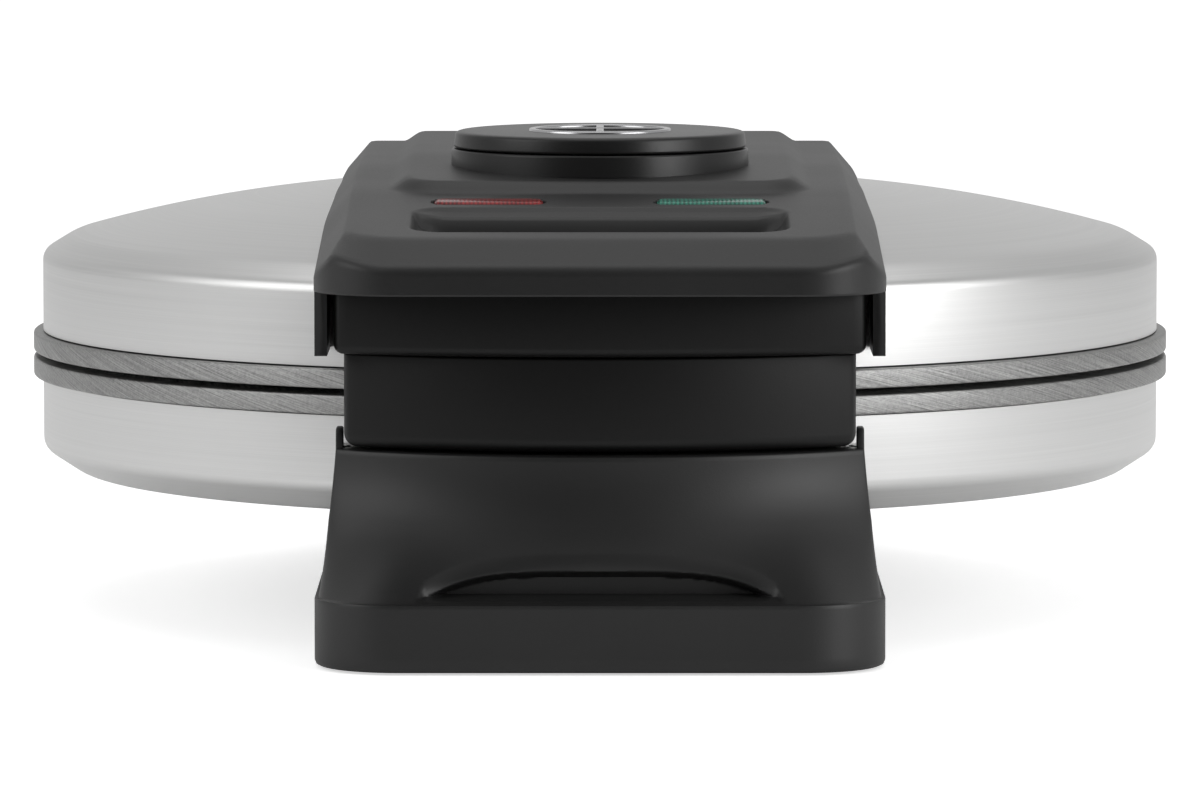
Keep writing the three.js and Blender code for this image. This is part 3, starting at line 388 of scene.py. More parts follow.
lid_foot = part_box("lid_shell")[0][2] / mm
dome_radii = np.linspace(0, LID_BEVEL_RADIUS - 1.2, 40)
lid_outside = filleted([
    (LID_WALL_RADIUS, lid_foot, 0), (LID_WALL_RADIUS, LID_BEVEL_FOOT, 1.6),
    (LID_BEVEL_RADIUS, LID_BEVEL_HEAD, 1.8), (LID_BEVEL_RADIUS - 8, dome_height(LID_BEVEL_RADIUS - 8), 0),
])
lid_outside = lid_outside[lid_outside[:, 0] > LID_BEVEL_RADIUS - 7]
dome = np.stack([dome_radii, dome_height(dome_radii)], -1)[dome_radii < LID_BEVEL_RADIUS - 4][::-1]
lid_outside = np.concatenate([lid_outside, dome])
lid_inside = np.stack([np.maximum(lid_outside[:, 0] - STEEL, 0), lid_outside[:, 1] - STEEL], -1)
lid_inside[0, 1] = lid_foot
lid_profile = np.concatenate([lid_outside, lid_inside[::-1]])
lid_shell = make_piece("steel_lid", [turned_grid(lid_profile, segments=320)], BRUSHED_STEEL)
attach(lid_shell, "lid")
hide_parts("lid_shell")


# ---- Steel pan -----------------------------------------------------------------------------------
# The lower shell, drawn from the same sheet: upright wall, bevel and a flat floor that rests on the base.
pan_low, pan_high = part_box("lower_pan")
pan_floor, pan_rim = pan_low[2] / mm, pan_high[2] / mm
PAN_BEVEL = 4.6
PAN_FLOOR_RADIUS = 97.2
pan_outside = filleted([
    (0.0, pan_floor, 0), (PAN_FLOOR_RADIUS, pan_floor, 1.8),
    (LID_WALL_RADIUS, pan_floor + PAN_BEVEL, 1.6), (LID_WALL_RADIUS, pan_rim, 0),
])
pan_inside = np.stack([np.maximum(pan_outside[:, 0] - STEEL, 0), pan_outside[:, 1] + STEEL], -1)
pan_inside[-1, 1] = pan_rim
steel_pan = make_piece(
    "steel_pan", [turned_grid(np.concatenate([pan_outside, pan_inside[::-1]]), segments=320)], BRUSHED_STEEL
)
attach(steel_pan, "base")
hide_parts("lower_pan")


# ---- Grid plates ---------------------------------------------------------------------------------
# Two aluminium castings with studs for the pockets of the waffle, a cross of two ribs, and a flat rim whose
# turned edge shows as two thin bands round the closed appliance. The bowls carry a dark non-stick coat.
PLATE_RADIUS = 106.0
BOWL_RADIUS = 89.0
BOWL_DEPTH = 8.0
PLATE_BACK = 3.0
RIM_STEP = 0.4
RIM_THICK = 3.5
LAND_RADIUS = 101.0
STUD_TALL = 5.2
STUD_FOOT = 10.6
STUD_TIP = 9.0
STUD_ROWS = (13.0, 31.0, 49.0, 67.0)


def upright_slab(outline, low, high, edge_low, edge_high, taper=0.0, steps=4):
    """A closed plan outline carried up from low to high. Near both ends it is drawn in along a quarter
    circle, and closed by a fan to its middle. taper draws the top in by that much more."""
    ahead = np.roll(outline, -1, 0) - np.roll(outline, 1, 0)
    inward = np.stack([-ahead[:, 1], ahead[:, 0]], -1) / np.linalg.norm(ahead, axis=1)[:, None]
    area = (outline[:, 0] * np.roll(outline[:, 1], -1) - np.roll(outline[:, 0], -1) * outline[:, 1]).sum()
    inward *= np.sign(area)
    turn = np.linspace(0, np.pi / 2, steps)
    inset = np.concatenate([edge_low * (1 - np.sin(turn)), taper + edge_high * (1 - np.cos(turn))])
    height = np.concatenate([low + edge_low * (1 - np.cos(turn)), high - edge_high * (1 - np.sin(turn))])
    plan = outline[None] + inward[None] * inset[:, None, None]
    rings = np.concatenate([plan, np.broadcast_to(height[:, None, None], (*plan.shape[:2], 1))], -1)
    middle = rings.mean(1, keepdims=True)
    first = np.broadcast_to(middle[:1], rings[:1].shape)
    last = np.broadcast_to(middle[-1:], rings[-1:].shape)
    return np.concatenate([first, rings, last]), False, True


def turned_over(grid):
    """The same slab lying down: its outline is in (y, z) and its height runs along x."""
    points, close_rows, close_columns = grid
    return points[..., (2, 0, 1)], close_rows, close_columns


def rectangle(x0, x1, y0, y1, radius, steps):
    return filleted([(x0, y0, radius), (x1, y0, radius), (x1, y1, radius), (x0, y1, radius)], steps)


def rim_scratches():
    """Lines left by turning and handling on the rim: stretched noise that climbs slantwise round it."""
    tree, given, out = new_group("rim_scratches", [("Slant", 0.6)], ["Scratch", "Grain"])
    place = tree.nodes.new("ShaderNodeTexCoord").outputs["Object"]
    split = tree.nodes.new("ShaderNodeSeparateXYZ")
    tree.links.new(place, split.inputs[0])
    x, y, z = split.outputs
    around = math_node(tree, "MULTIPLY", math_node(tree, "ARCTAN2", x, y), PLATE_RADIUS * mm)
    slant = math_node(tree, "MULTIPLY", z, given.outputs["Slant"])
    along = math_node(tree, "MULTIPLY", around, 0.8)
    across = math_node(tree, "ADD", along, math_node(tree, "MULTIPLY", slant, 2.2))
    vector = tree.nodes.new("ShaderNodeCombineXYZ")
    tree.links.new(math_node(tree, "MULTIPLY", across, 1500.0), vector.inputs[0])
    tree.links.new(math_node(tree, "MULTIPLY", z, 160.0), vector.inputs[1])
    tree.links.new(noise(tree, vector.outputs[0], 1.0, 4.0, 0.7), out.inputs["Scratch"])
    tree.links.new(noise(tree, place, 1800.0, 3.0, 0.6), out.inputs["Grain"])
    return tree


RIM_SCRATCHES = rim_scratches()


def cast_plate():
    material, tree, shader = shader_of("turned_aluminium")
    marks = group_node(tree, RIM_SCRATCHES, Slant=-1.4)
    mixed = math_node(tree, "MULTIPLY_ADD", marks.outputs["Scratch"], 0.75,
                      math_node(tree, "MULTIPLY", marks.outputs["Grain"], 0.25))
    stops = [(0.34, (0.16, 0.16, 0.16)), (0.52, (0.36, 0.36, 0.355)), (0.68, (0.56, 0.56, 0.55))]
    shade = ramp(tree, mixed, stops)
    tree.links.new(shade, shader.inputs["Base Color"])
    tree.links.new(math_node(tree, "MULTIPLY_ADD", mixed, 0.3, 0.3), shader.inputs["Roughness"])
    tree.links.new(bump(tree, mixed, 0.00012, 0.8), shader.inputs["Normal"])
    shader.inputs["Metallic"].default_value = 1.0
    return material


def speckle():
    """Fine grain and slow blotches in object space, for coats and mouldings."""
    tree, given, out = new_group("speckle", [("Grains per metre", 2500.0)], ["Grain", "Blotch"])
    place = tree.nodes.new("ShaderNodeTexCoord").outputs["Object"]
    fine = tree.nodes.new("ShaderNodeTexNoise")
    fine.inputs["Detail"].default_value = 2.0
    tree.links.new(place, fine.inputs["Vector"])
    tree.links.new(given.outputs["Grains per metre"], fine.inputs["Scale"])
    tree.links.new(fine.outputs["Fac"], out.inputs["Grain"])
    tree.links.new(noise(tree, place, 22.0, 3.0, 0.5), out.inputs["Blotch"])
    return tree


SPECKLE = speckle()


def speckled(name, grains, dark, light, rough, gain, depth=0.0, strength=0.5, metallic=0.0, clear=0.0):
    """A material whose colour lies between dark and light by the blotches, whose roughness the grain raises
    by up to gain, and which has a bump of the given depth, if any."""
    material, tree, shader = shader_of(name)
    marks = group_node(tree, SPECKLE, Grains_per_metre=grains)
    shade = ramp(tree, marks.outputs["Blotch"], [(0.3, dark), (0.7, light)])
    uneven = math_node(tree, "MULTIPLY_ADD", marks.outputs["Grain"], gain, rough)
    tree.links.new(shade, shader.inputs["Base Color"])
    tree.links.new(uneven, shader.inputs["Roughness"])
    if depth:
        tree.links.new(bump(tree, marks.outputs["Grain"], depth, strength), shader.inputs["Normal"])
    shader.inputs["Metallic"].default_value = metallic
    shader.inputs["Transmission Weight"].default_value = clear
    return material


CAST_PLATE = cast_plate()
NONSTICK = speckled(
    "nonstick_coat", 3200.0, (0.022, 0.022, 0.024), (0.05, 0.05, 0.052), 0.32, 0.25,
    depth=0.00006, strength=0.7, metallic=0.3,
)


def grid_plate(name, face, up, body, node):
    """The rim is a turned ring; the bowl is a second turned form with the studs and ribs standing in it.
    up is +1 where the casting rises away from the join and -1 where it hangs below it."""
    def at(depth):
        return face + up * depth

    rim = filleted([
        (BOWL_RADIUS + 1.2, at(0), 0.3), (LAND_RADIUS, at(0), 0.4), (LAND_RADIUS + 0.9, at(RIM_STEP), 0.3),
        (PLATE_RADIUS, at(RIM_STEP), 0.45), (PLATE_RADIUS, at(RIM_STEP + RIM_THICK), 0.45),
        (BOWL_RADIUS + 1.2, at(RIM_STEP + RIM_THICK), 0.3),
    ], 4)
    ring = make_piece(f"{name}_rim", [turned_grid(rim, segments=320)], CAST_PLATE)
    back = BOWL_DEPTH + PLATE_BACK
    bowl = filleted([
        (0.0, at(BOWL_DEPTH), 0), (BOWL_RADIUS - 2, at(BOWL_DEPTH), 2.0), (BOWL_RADIUS, at(0.0), 0.6),
        (BOWL_RADIUS + 1.2, at(0.0), 0), (BOWL_RADIUS + 1.2, at(back - 3), 2), (BOWL_RADIUS - 1, at(back), 0),
        (0.0, at(back), 0),
    ], 5)
    grids = [turned_grid(bowl, segments=192)]
    foot = rectangle(-STUD_FOOT / 2, STUD_FOOT / 2, -STUD_FOOT / 2, STUD_FOOT / 2, 1.6, 4)
    low, high = sorted((at(BOWL_DEPTH + 1.0), at(BOWL_DEPTH - STUD_TALL)))
    taper = (STUD_FOOT - STUD_TIP) / 2
    stud, *closing = upright_slab(foot, 0.0, high - low, 0.0, 0.7, taper, 4)
    if up > 0:
        stud = stud * (1, 1, -1) + (0, 0, high - low)
    for x in STUD_ROWS + tuple(-row for row in STUD_ROWS):
        for y in STUD_ROWS + tuple(-row for row in STUD_ROWS):
            if math.hypot(x, y) + STUD_FOOT / math.sqrt(2) < BOWL_RADIUS - 3:
                grids.append((stud + (x, y, low), *closing))
    rib = rectangle(-BOWL_RADIUS + 1, BOWL_RADIUS - 1, -2.0, 2.0, 1.0, 4)
    for plan in (rib, rib[:, ::-1]):
        bar, *closing = upright_slab(plan, 0.0, high - low, 0.0, 0.6, 0.3, 4)
        if up > 0:
            bar = bar * (1, 1, -1) + (0, 0, high - low)
        grids.append((bar + (0, 0, low), *closing))
    dish = make_piece(f"{name}_bowl", grids, NONSTICK)
    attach(ring, body)
    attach(dish, body)
    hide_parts(node)


lower_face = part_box("lower_grid_plate")[1][2] / mm
upper_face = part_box("upper_grid_plate")[0][2] / mm
grid_plate("lower_plate", lower_face, -1, "base", "lower_grid_plate")
grid_plate("upper_plate", upper_face, 1, "lid", "upper_grid_plate")


# ---- Lid housing ---------------------------------------------------------------------------------
# One black moulding, 2.2 mm thick: the band over the lid with its front lip and grip, the thumb recess,
# two lamp slots, a raised tongue behind them, skirts down the sides and the rear.
BAND_HALF = 49.8
FRONT_Y = -131.0
REAR_Y = 110.0
FRONT_CORNER = 15.0
REAR_CORNER = 12.0
LIP_FOOT = 65.7
LIP_HEAD = 70.7
LIP_RISE = 1.4
SLOPE_HEAD_Y = -121.0
CREASE_CORNER = 12.0
SKIRT_FOOT = 54.0
SKIRT_FRONT = -113.0
CHAMFER_X = 44.4
CHAMFER_SLOPE = 1.16
EDGE_ROUND = 1.3
TONGUE_HALF = 38.3
TONGUE_FRONT, TONGUE_REAR = -72.0, 66.0
RECESS_HALF = 33.3
RECESS_FRONT, RECESS_BACK = -114.0, -86.0
RECESS_DEPTH = 7.0
SLOT_INNER, SLOT_OUTER = 9.5, 30.1
SLOT_FRONT, SLOT_BACK = -83.0, -77.0
SLOT_DEPTH = 1.7
TONGUE_CORNER, RECESS_CORNER, SLOT_CORNER = 11.0, 6.0, 2.8
TONGUE_FLANK, RECESS_FLANK, SLOT_FLANK = 4.0, 1.1, 0.35
LID_GAP = 0.2
FAR = 400.0
HOUSING_WALL = 2.2


def moulded_black(name, tint, rough, grain, level=0.5):
    """Black plastic: both the blotches and the grain change its roughness."""
    material, tree, shader = shader_of(name)
    marks = group_node(tree, SPECKLE, Grains_per_metre=grain)
    shade = ramp(tree, marks.outputs["Blotch"], [(0.3, (tint * 0.85,) * 3), (0.7, (tint * 1.2,) * 3)])
    tree.links.new(shade, shader.inputs["Base Color"])
    uneven = math_node(tree, "MULTIPLY_ADD", marks.outputs["Blotch"], 0.10, rough - 0.05)
    uneven = math_node(tree, "MULTIPLY_ADD", marks.outputs["Grain"], 0.08, uneven)
    tree.links.new(uneven, shader.inputs["Roughness"])
    tree.links.new(bump(tree, marks.outputs["Grain"], 0.00002, 0.6), shader.inputs["Normal"])
    shader.inputs["Specular IOR Level"].default_value = level
    return material


SATIN_BLACK = moulded_black("satin_black_moulding", 0.013, 0.40, 2600.0)
# A darker copy of the satin black for the grip liner and front guard: painted shade, standing in for the
# shadow under the lip.
SHADED_BLACK = moulded_black("shaded_black_moulding", 0.004, 0.42, 2600.0, 0.3)


def smooth_min(a, b, width):
    """The lower of two heights, with the crease between them rounded over width."""
    h = np.clip(0.5 + 0.5 * (b - a) / width, 0, 1)
    return b * (1 - h) + a * h - width * h * (1 - h)


def eased(t):
    t = np.clip(t, 0, 1)
    return t * t * (3 - 2 * t)


def inside_of(x, y, x0, x1, y0, y1, radius):
    """Distance in from the edge of a rounded rectangle, negative outside it."""
    dx = np.abs(x - (x0 + x1) / 2) - (x1 - x0) / 2 + radius
    dy = np.abs(y - (y0 + y1) / 2) - (y1 - y0) / 2 + radius
    return radius - np.hypot(np.maximum(dx, 0), np.maximum(dy, 0)) - np.minimum(np.maximum(dx, dy), 0)


def band_height(y):
    """Centre line of the band: grip slope, long rise, level top and the fall to the hinge, as one soft
    concave line."""
    z = smooth_min(75.1 + 0.091 * (y + 121), 80.2 + 0.040 * (y + 65), 0.35)
    z = smooth_min(z, 82.0 + 0 * y, 0.3)
    z = smooth_min(z, 82.0 - 0.18 * (y - 62), 1.2)
    return smooth_min(z, 76.5 - 0.59 * (y - 94), 1.5)


def front_line(x):
    """The lip's plan: a shallow bow with a quarter-round corner at each end."""
    past = np.clip(np.abs(x) - BAND_HALF + FRONT_CORNER, 0, FRONT_CORNER)
    return FRONT_Y + FRONT_CORNER - np.sqrt(FRONT_CORNER ** 2 - past ** 2)


def grip_slope(x, y):
    """The slope of the grip: straight from the lip, which rises at its ends, up to a crease that turns
    back round the corners on a quarter circle."""
    lip = LIP_HEAD + LIP_RISE * eased((np.abs(x) - 36.9) / 10.1)
    past = np.clip(np.abs(x) - 33.0, 0, CREASE_CORNER)
    crease = SLOPE_HEAD_Y + CREASE_CORNER - np.sqrt(CREASE_CORNER ** 2 - past ** 2)
    start = front_line(x)
    return lip + (band_height(crease) - lip) / (crease - start) * (y - start)


def housing_top(x, y):
    """Outer face of the housing: the lowest of the grip slope, the band and the side chamfers, with the
    tongue added, and the thumb recess and lamp slots taken away."""
    band = band_height(y)
    z = smooth_min(band, band - CHAMFER_SLOPE * (np.abs(x) - CHAMFER_X), 0.5)
    z = smooth_min(z, grip_slope(x, y), 0.3)
    tongue = inside_of(x, y, -TONGUE_HALF, TONGUE_HALF, TONGUE_FRONT, TONGUE_REAR, TONGUE_CORNER)
    z = z + eased(tongue / TONGUE_FLANK) * np.interp(y, (-70, 50), (2.0, 1.9))
    run = np.clip((RECESS_BACK - y) / (RECESS_BACK - RECESS_FRONT), 0, 1)
    hollow = np.interp(run, (0, 0.03, 0.18, 0.26, 1), (0.15, 0.5, 1.3, 6.8, RECESS_DEPTH))
    hollow = hollow * (0.25 + 0.75 * eased((RECESS_HALF - np.abs(x)) / 6.5))
    recess = inside_of(x, y, -RECESS_HALF, RECESS_HALF, RECESS_FRONT, RECESS_BACK, RECESS_CORNER)
    z = z - hollow * eased(recess / RECESS_FLANK)
    for side in (-1, 1):
        slot = inside_of(side * x, y, SLOT_INNER, SLOT_OUTER, SLOT_FRONT, SLOT_BACK, SLOT_CORNER)
        z = z - SLOT_DEPTH * eased(slot / SLOT_FLANK)
    return z


def housing_edge(x, y):
    """Distance in from the housing's plan outline."""
    front = inside_of(x, y, -BAND_HALF, BAND_HALF, FRONT_Y, FAR, FRONT_CORNER)
    rear = inside_of(x, y, -BAND_HALF, BAND_HALF, -FAR, REAR_Y, REAR_CORNER)
    return np.minimum(front, rear)


def half_width(y):
    """Half the housing's width at y, with the corners of both ends rounded."""
    front = np.clip(FRONT_Y + FRONT_CORNER - y, 0, FRONT_CORNER)
    rear = np.clip(y - REAR_Y + REAR_CORNER, 0, REAR_CORNER)
    return (BAND_HALF - FRONT_CORNER + np.sqrt(FRONT_CORNER ** 2 - front ** 2)
            - REAR_CORNER + np.sqrt(REAR_CORNER ** 2 - rear ** 2))


def skirt_foot(y):
    """Lower edge of the side wall: the lip, then the skirt, then just clear of the steel lid."""
    radius = np.hypot(BAND_HALF, y)
    on_lid = np.interp(radius, (90, LID_BEVEL_RADIUS, LID_WALL_RADIUS + 0.1, LID_WALL_RADIUS + 0.2), (
        dome_height(90.0) + LID_GAP, LID_BEVEL_HEAD + LID_GAP, LID_BEVEL_FOOT + LID_GAP, SKIRT_FOOT,
    ))
    foot = np.where(radius < 90, dome_height(radius) + LID_GAP, on_lid)
    return np.where(y < SKIRT_FRONT, LIP_FOOT, foot)


def spread(*stops):
    """Positions along a line: stops are (end, step) after a first start value."""
    line = [np.array([stops[0]])]
    for end, step in stops[1:]:
        start = line[-1][-1]
        count = max(1, round((end - start) / step))
        line.append(start + (end - start) * np.arange(1, count + 1) / count)
    return np.concatenate(line)


corner_turn = np.linspace(0, np.pi / 2, 13)
rows_y = np.concatenate([
    FRONT_Y + FRONT_CORNER * (1 - np.cos(corner_turn))[:-1],
    spread(-116.0, (-114.2, 0.45), (SKIRT_FRONT - 0.05, 0.3), (SKIRT_FRONT + 0.05, 0.1), (-112.4, 0.3),
           (-96, 0.9), (-84, 0.6), (-75.8, 0.32), (-73, 0.7), (-64, 0.6), (50, 3.0), (68, 1.2),
           (REAR_Y - REAR_CORNER, 2.0)),
    REAR_Y - REAR_CORNER * (1 - np.sin(corner_turn))[1:],
])
half_x = spread(0.0, (9, 1.8), (10.2, 0.24), (29.4, 1.6), (30.6, 0.24), (34, 0.5), (39, 0.55), (44.4, 1.1),
                (46.4, 0.4), (48.6, 0.7), (BAND_HALF, 0.17))
across_u = np.concatenate([-half_x[:0:-1], half_x]) / BAND_HALF
plan_x = across_u[None] * half_width(rows_y)[:, None]
plan_y = np.broadcast_to(rows_y[:, None], plan_x.shape)
edge = np.clip(housing_edge(plan_x, plan_y), 0, EDGE_ROUND)
rolled = EDGE_ROUND - np.sqrt(np.maximum(EDGE_ROUND ** 2 - (EDGE_ROUND - edge) ** 2, 0))
top_z = housing_top(plan_x, plan_y) - rolled
roof = np.stack([plan_x, plan_y, top_z], -1)


def hanging_wall(edge_line, foot, levels=11):
    """The wall below an edge of the roof: straight down from each point of the edge to its foot height."""
    t = np.linspace(0, 1, levels)[:, None]
    wall = np.repeat(edge_line[None], levels, 0)
    wall[..., 2] = edge_line[None, :, 2] * (1 - t) + foot[None] * t
    return wall


side_foot = np.minimum(skirt_foot(rows_y), roof[:, 0, 2] - 0.2)
left_wall = hanging_wall(roof[:, 0], side_foot)
right_wall = hanging_wall(roof[:, -1], side_foot)[::-1]
front_wall = hanging_wall(roof[0], np.full(len(across_u), LIP_FOOT))
rear_wall = hanging_wall(roof[-1], np.full(len(across_u), SKIRT_FOOT))[::-1]
housing = make_piece("lid_band", [
    (roof, False, False), (left_wall.transpose(1, 0, 2)[:, ::-1], False, False),
    (right_wall.transpose(1, 0, 2)[:, ::-1], False, False),
    (front_wall[::-1], False, False), (rear_wall[::-1], False, False),
], SATIN_BLACK, outward=True, smooth_angle=50)
shell_wall = housing.modifiers.new("wall", "SOLIDIFY")
shell_wall.thickness = HOUSING_WALL * mm
shell_wall.offset = -1.0
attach(housing, "lid")
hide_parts("lid_housing")


# ---- Rear neck and hinge -------------------------------------------------------------------------
# The band runs on as a thick neck to the hinge knuckle, between two ears of the base.
hinge = next(joint for joint in frame["joints"] if joint["name"] == "lid_hinge")
HINGE_Y, HINGE_Z = hinge["pos_m"][1] / mm, hinge["pos_m"][2] / mm
KNUCKLE = 8.0
NECK_HALF = 33.0
NECK_ROOT_Y = 104.4
NECK_TOP_Z = 66.0
round_under = np.linspace(0, -np.pi, 25)[1:]
neck_side = np.concatenate([
    filleted([
        (NECK_ROOT_Y, NECK_TOP_Z, 0), (REAR_Y + 0.5, NECK_TOP_Z - 0.6, 3),
        (HINGE_Y + KNUCKLE, HINGE_Z + 13, 6), (HINGE_Y + KNUCKLE, HINGE_Z, 0),
    ]),
    np.stack([HINGE_Y + KNUCKLE * np.cos(round_under), HINGE_Z + KNUCKLE * np.sin(round_under)], -1),
    np.array([(NECK_ROOT_Y + 2.8, 51.5), (NECK_ROOT_Y + 0.2, 56.0)]),
])
neck = make_piece(
    "lid_hinge_neck", [turned_over(upright_slab(neck_side, -NECK_HALF, NECK_HALF, 1.2, 1.2))], SATIN_BLACK
)
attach(neck, "lid")


# ---- Grip liner and front guard --------------------------------------------------------------------
# Two bowed black mouldings under the lip. They use the darker copy of the black, which is painted shade for
# the same plastic in shadow under the lip. The liner closes the grip; the guard below it covers the rims of
# both plates in front and lifts with the lid.
def bowed_outline(half, reach, bulge, back_radius, corner):
    """A front arc that stands forward by its bulge, rounded corners, and a back that follows the plates."""
    arc_radius = (half ** 2 + bulge ** 2) / (2 * bulge)
    x = np.linspace(-half + corner, half - corner, 40)
    front = np.stack([x, arc_radius - reach - np.sqrt(arc_radius ** 2 - x ** 2)], -1)
    side_y = bulge - reach
    back_x = np.linspace(half, -half, 32)
    back = np.stack([back_x, -np.sqrt(back_radius ** 2 - back_x ** 2)], -1)
    bend = filleted([(front[-1, 0], front[-1, 1], 0), (half, side_y, corner), (half, back[0, 1], 0)], 6)[1:-1]
    return np.concatenate([front, bend, back, bend[::-1] * (-1, 1)])


liner_low, liner_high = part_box("grip_liner")
guard_low, guard_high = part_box("front_guard")
CLEAR_OF_PLATES = 107.0
LINER_BULGE, GUARD_BULGE = 8.0, 12.0
liner = make_piece("grip_liner_moulding", [upright_slab(
    bowed_outline(liner_high[0] / mm, -liner_low[1] / mm, LINER_BULGE, CLEAR_OF_PLATES, 2.4),
    liner_low[2] / mm, liner_high[2] / mm, 1.6, 0.2, steps=6,
)], SHADED_BLACK)
guard = make_piece("front_guard_moulding", [upright_slab(
    bowed_outline(guard_high[0] / mm, -guard_low[1] / mm, GUARD_BULGE, CLEAR_OF_PLATES, 2.2),
    guard_low[2] / mm, guard_high[2] / mm, 2.4, 0.4, steps=7,
)], SHADED_BLACK)
for piece, node in ((liner, "grip_liner"), (guard, "front_guard")):
    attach(piece, "lid")
    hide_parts(node)


# ---- Lamp lenses -----------------------------------------------------------------------------------
# Tinted clear bars that stand a little proud of their slots, ribbed underneath so that they glitter.
def lens_tint(name, deep, light):
    material, tree, shader = shader_of(name)
    place = tree.nodes.new("ShaderNodeTexCoord").outputs["Object"]
    wave = tree.nodes.new("ShaderNodeTexWave")
    wave.inputs["Scale"].default_value = 420.0
    wave.inputs["Distortion"].default_value = 0.4
    tree.links.new(place, wave.inputs["Vector"])
    blotch = noise(tree, place, 260.0, 2.0, 0.5)
    mixed = math_node(tree, "MULTIPLY", blotch, 0.65)
    mixed = math_node(tree, "MULTIPLY_ADD", wave.outputs["Fac"], 0.35, mixed)
    tree.links.new(ramp(tree, mixed, [(0.3, deep), (0.75, light)]), shader.inputs["Base Color"])
    tree.links.new(bump(tree, wave.outputs["Fac"], 0.00008, 0.6), shader.inputs["Normal"])
    tree.links.new(math_node(tree, "MULTIPLY_ADD", blotch, 0.1, 0.12), shader.inputs["Roughness"])
    shader.inputs["Specular IOR Level"].default_value = 0.3
    shader.inputs["Coat Weight"].default_value = 0.15
    shader.inputs["Coat Roughness"].default_value = 0.06
    return material


LENS_SLOPE = 0.091
for side, node, label, deep, light in (
    (-1, "power_lens", "power_lens_bar", (0.10, 0.004, 0.005), (0.30, 0.022, 0.022)),
    (1, "ready_lens", "ready_lens_bar", (0.010, 0.085, 0.06), (0.05, 0.28, 0.20)),
):
    low, high = (np.array(corner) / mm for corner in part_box(node))
    plan = rectangle(low[0], high[0], low[1], high[1], 2.2, 6)
    bar, *closing = upright_slab(plan, low[2] + 0.3, high[2] - 0.05, 0.1, 0.7, steps=6)
    bar[..., 2] += LENS_SLOPE * (bar[..., 1] - high[1])
    lens = make_piece(label, [(bar, *closing)], lens_tint(f"{label}_tint", deep, light))
    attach(lens, "lid")
    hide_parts(node)


# ---- Dial ---------------------------------------------------------------------------------------------
# A flat knob on a fixed collar, both glossy black, with a bright ring and cross on top of the knob.
GLOSS_BLACK = moulded_black("gloss_black_moulding", 0.012, 0.29, 1800.0, 0.4)
COLLAR_BORE = 3.5
dial_low, dial_high = (np.array(corner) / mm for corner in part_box("dial"))
collar_low, collar_high = (np.array(corner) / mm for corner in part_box("dial_collar"))
dial_centre = ((dial_low[0] + dial_high[0]) / 2, (dial_low[1] + dial_high[1]) / 2)
dial_radius = (dial_high[0] - dial_low[0]) / 2
collar_radius = (collar_high[0] - collar_low[0]) / 2
cap = filleted([
    (0.0, dial_low[2], 0), (dial_radius - 0.1, dial_low[2], 0.1), (dial_radius, dial_low[2] + 0.3, 0.1),
    (dial_radius - 0.25, dial_high[2] - 0.3, 0.5), (dial_radius - 1.2, dial_high[2], 0.5),
    (dial_radius - 9, dial_high[2], 3), (0.0, dial_high[2], 0),
], 5)
knob = make_piece("dial_cap", [turned_grid(cap, dial_centre, 160)], GLOSS_BLACK)
ring = filleted([
    (COLLAR_BORE, collar_low[2], 0), (collar_radius, collar_low[2], 0),
    (collar_radius - 0.1, collar_high[2] - 0.25, 0.2), (collar_radius - 0.35, collar_high[2], 0.2),
    (COLLAR_BORE, collar_high[2], 0),
], 5)
collar = make_piece("dial_collar_ring", [turned_grid(ring, dial_centre, 160)], GLOSS_BLACK)
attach(knob, "knob")
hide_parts("dial")
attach(collar, "lid")
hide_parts("dial_collar")


BRIGHT_TRIM = speckled(
    "bright_trim", 4000.0, (0.46, 0.46, 0.47), (0.62, 0.62, 0.63), 0.16, 0.1, metallic=1.0
)
badge_low, badge_high = (np.array(corner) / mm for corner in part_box("dial_badge"))
badge_radius = (badge_high[0] - badge_low[0]) / 2
BADGE_ARM = 12.0
BADGE_BAR_HALF = 0.7
hoop = filleted([(badge_radius - 1.4, dial_high[2] - 0.1, 0), (badge_radius, dial_high[2] - 0.1, 0),
                 (badge_radius - 0.1, badge_high[2], 0.25), (badge_radius - 1.3, badge_high[2], 0.25)], 4)
badge_grids = [turned_grid(hoop, dial_centre, 128)]
for bar_x, bar_y in ((BADGE_ARM, BADGE_BAR_HALF), (BADGE_BAR_HALF, BADGE_ARM)):
    bar = rectangle(-bar_x, bar_x, -bar_y, bar_y, 0.2, 3) + dial_centre
    badge_grids.append(upright_slab(bar, dial_high[2] - 0.1, badge_high[2], 0.0, 0.15, steps=3))
badge = make_piece("dial_badge_trim", badge_grids, BRIGHT_TRIM)
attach(badge, "knob")
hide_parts("dial_badge")


# ---- Base housing ----------------------------------------------------------------------------------
# One black moulding under the pan: a square foot whose front wall sweeps in and up to a bowed top edge,
# an arched finger recess in that wall, low side walls that cradle the pan, and an upright rear end.
FOOT_TOP = 12.2
FOOT_SHELF = 0.7
SHELF_FADE = 0.5
WALL_TOP = 37.0
REAR_TOP = 34.0
UPPER_HALF = 46.4
REAR_HALF = 47.0
BASE_REAR_CORNER = 14.0
SIDE_RUN = 98.0
ARCH_HALF = 31.2
ARCH_RISE = 8.3
ARCH_FALL = 5.3
ARCH_BACK_Y = -121.5
INNER_FLOOR = 8.0
ARC_RADIUS = 77.0
WALL_REACH = 120.0
BASE_WALL = 2.5
CRADLE_INNER, CRADLE_OUTER = 97.3, 104.5
CLEAR_OF_PAN = 111.5


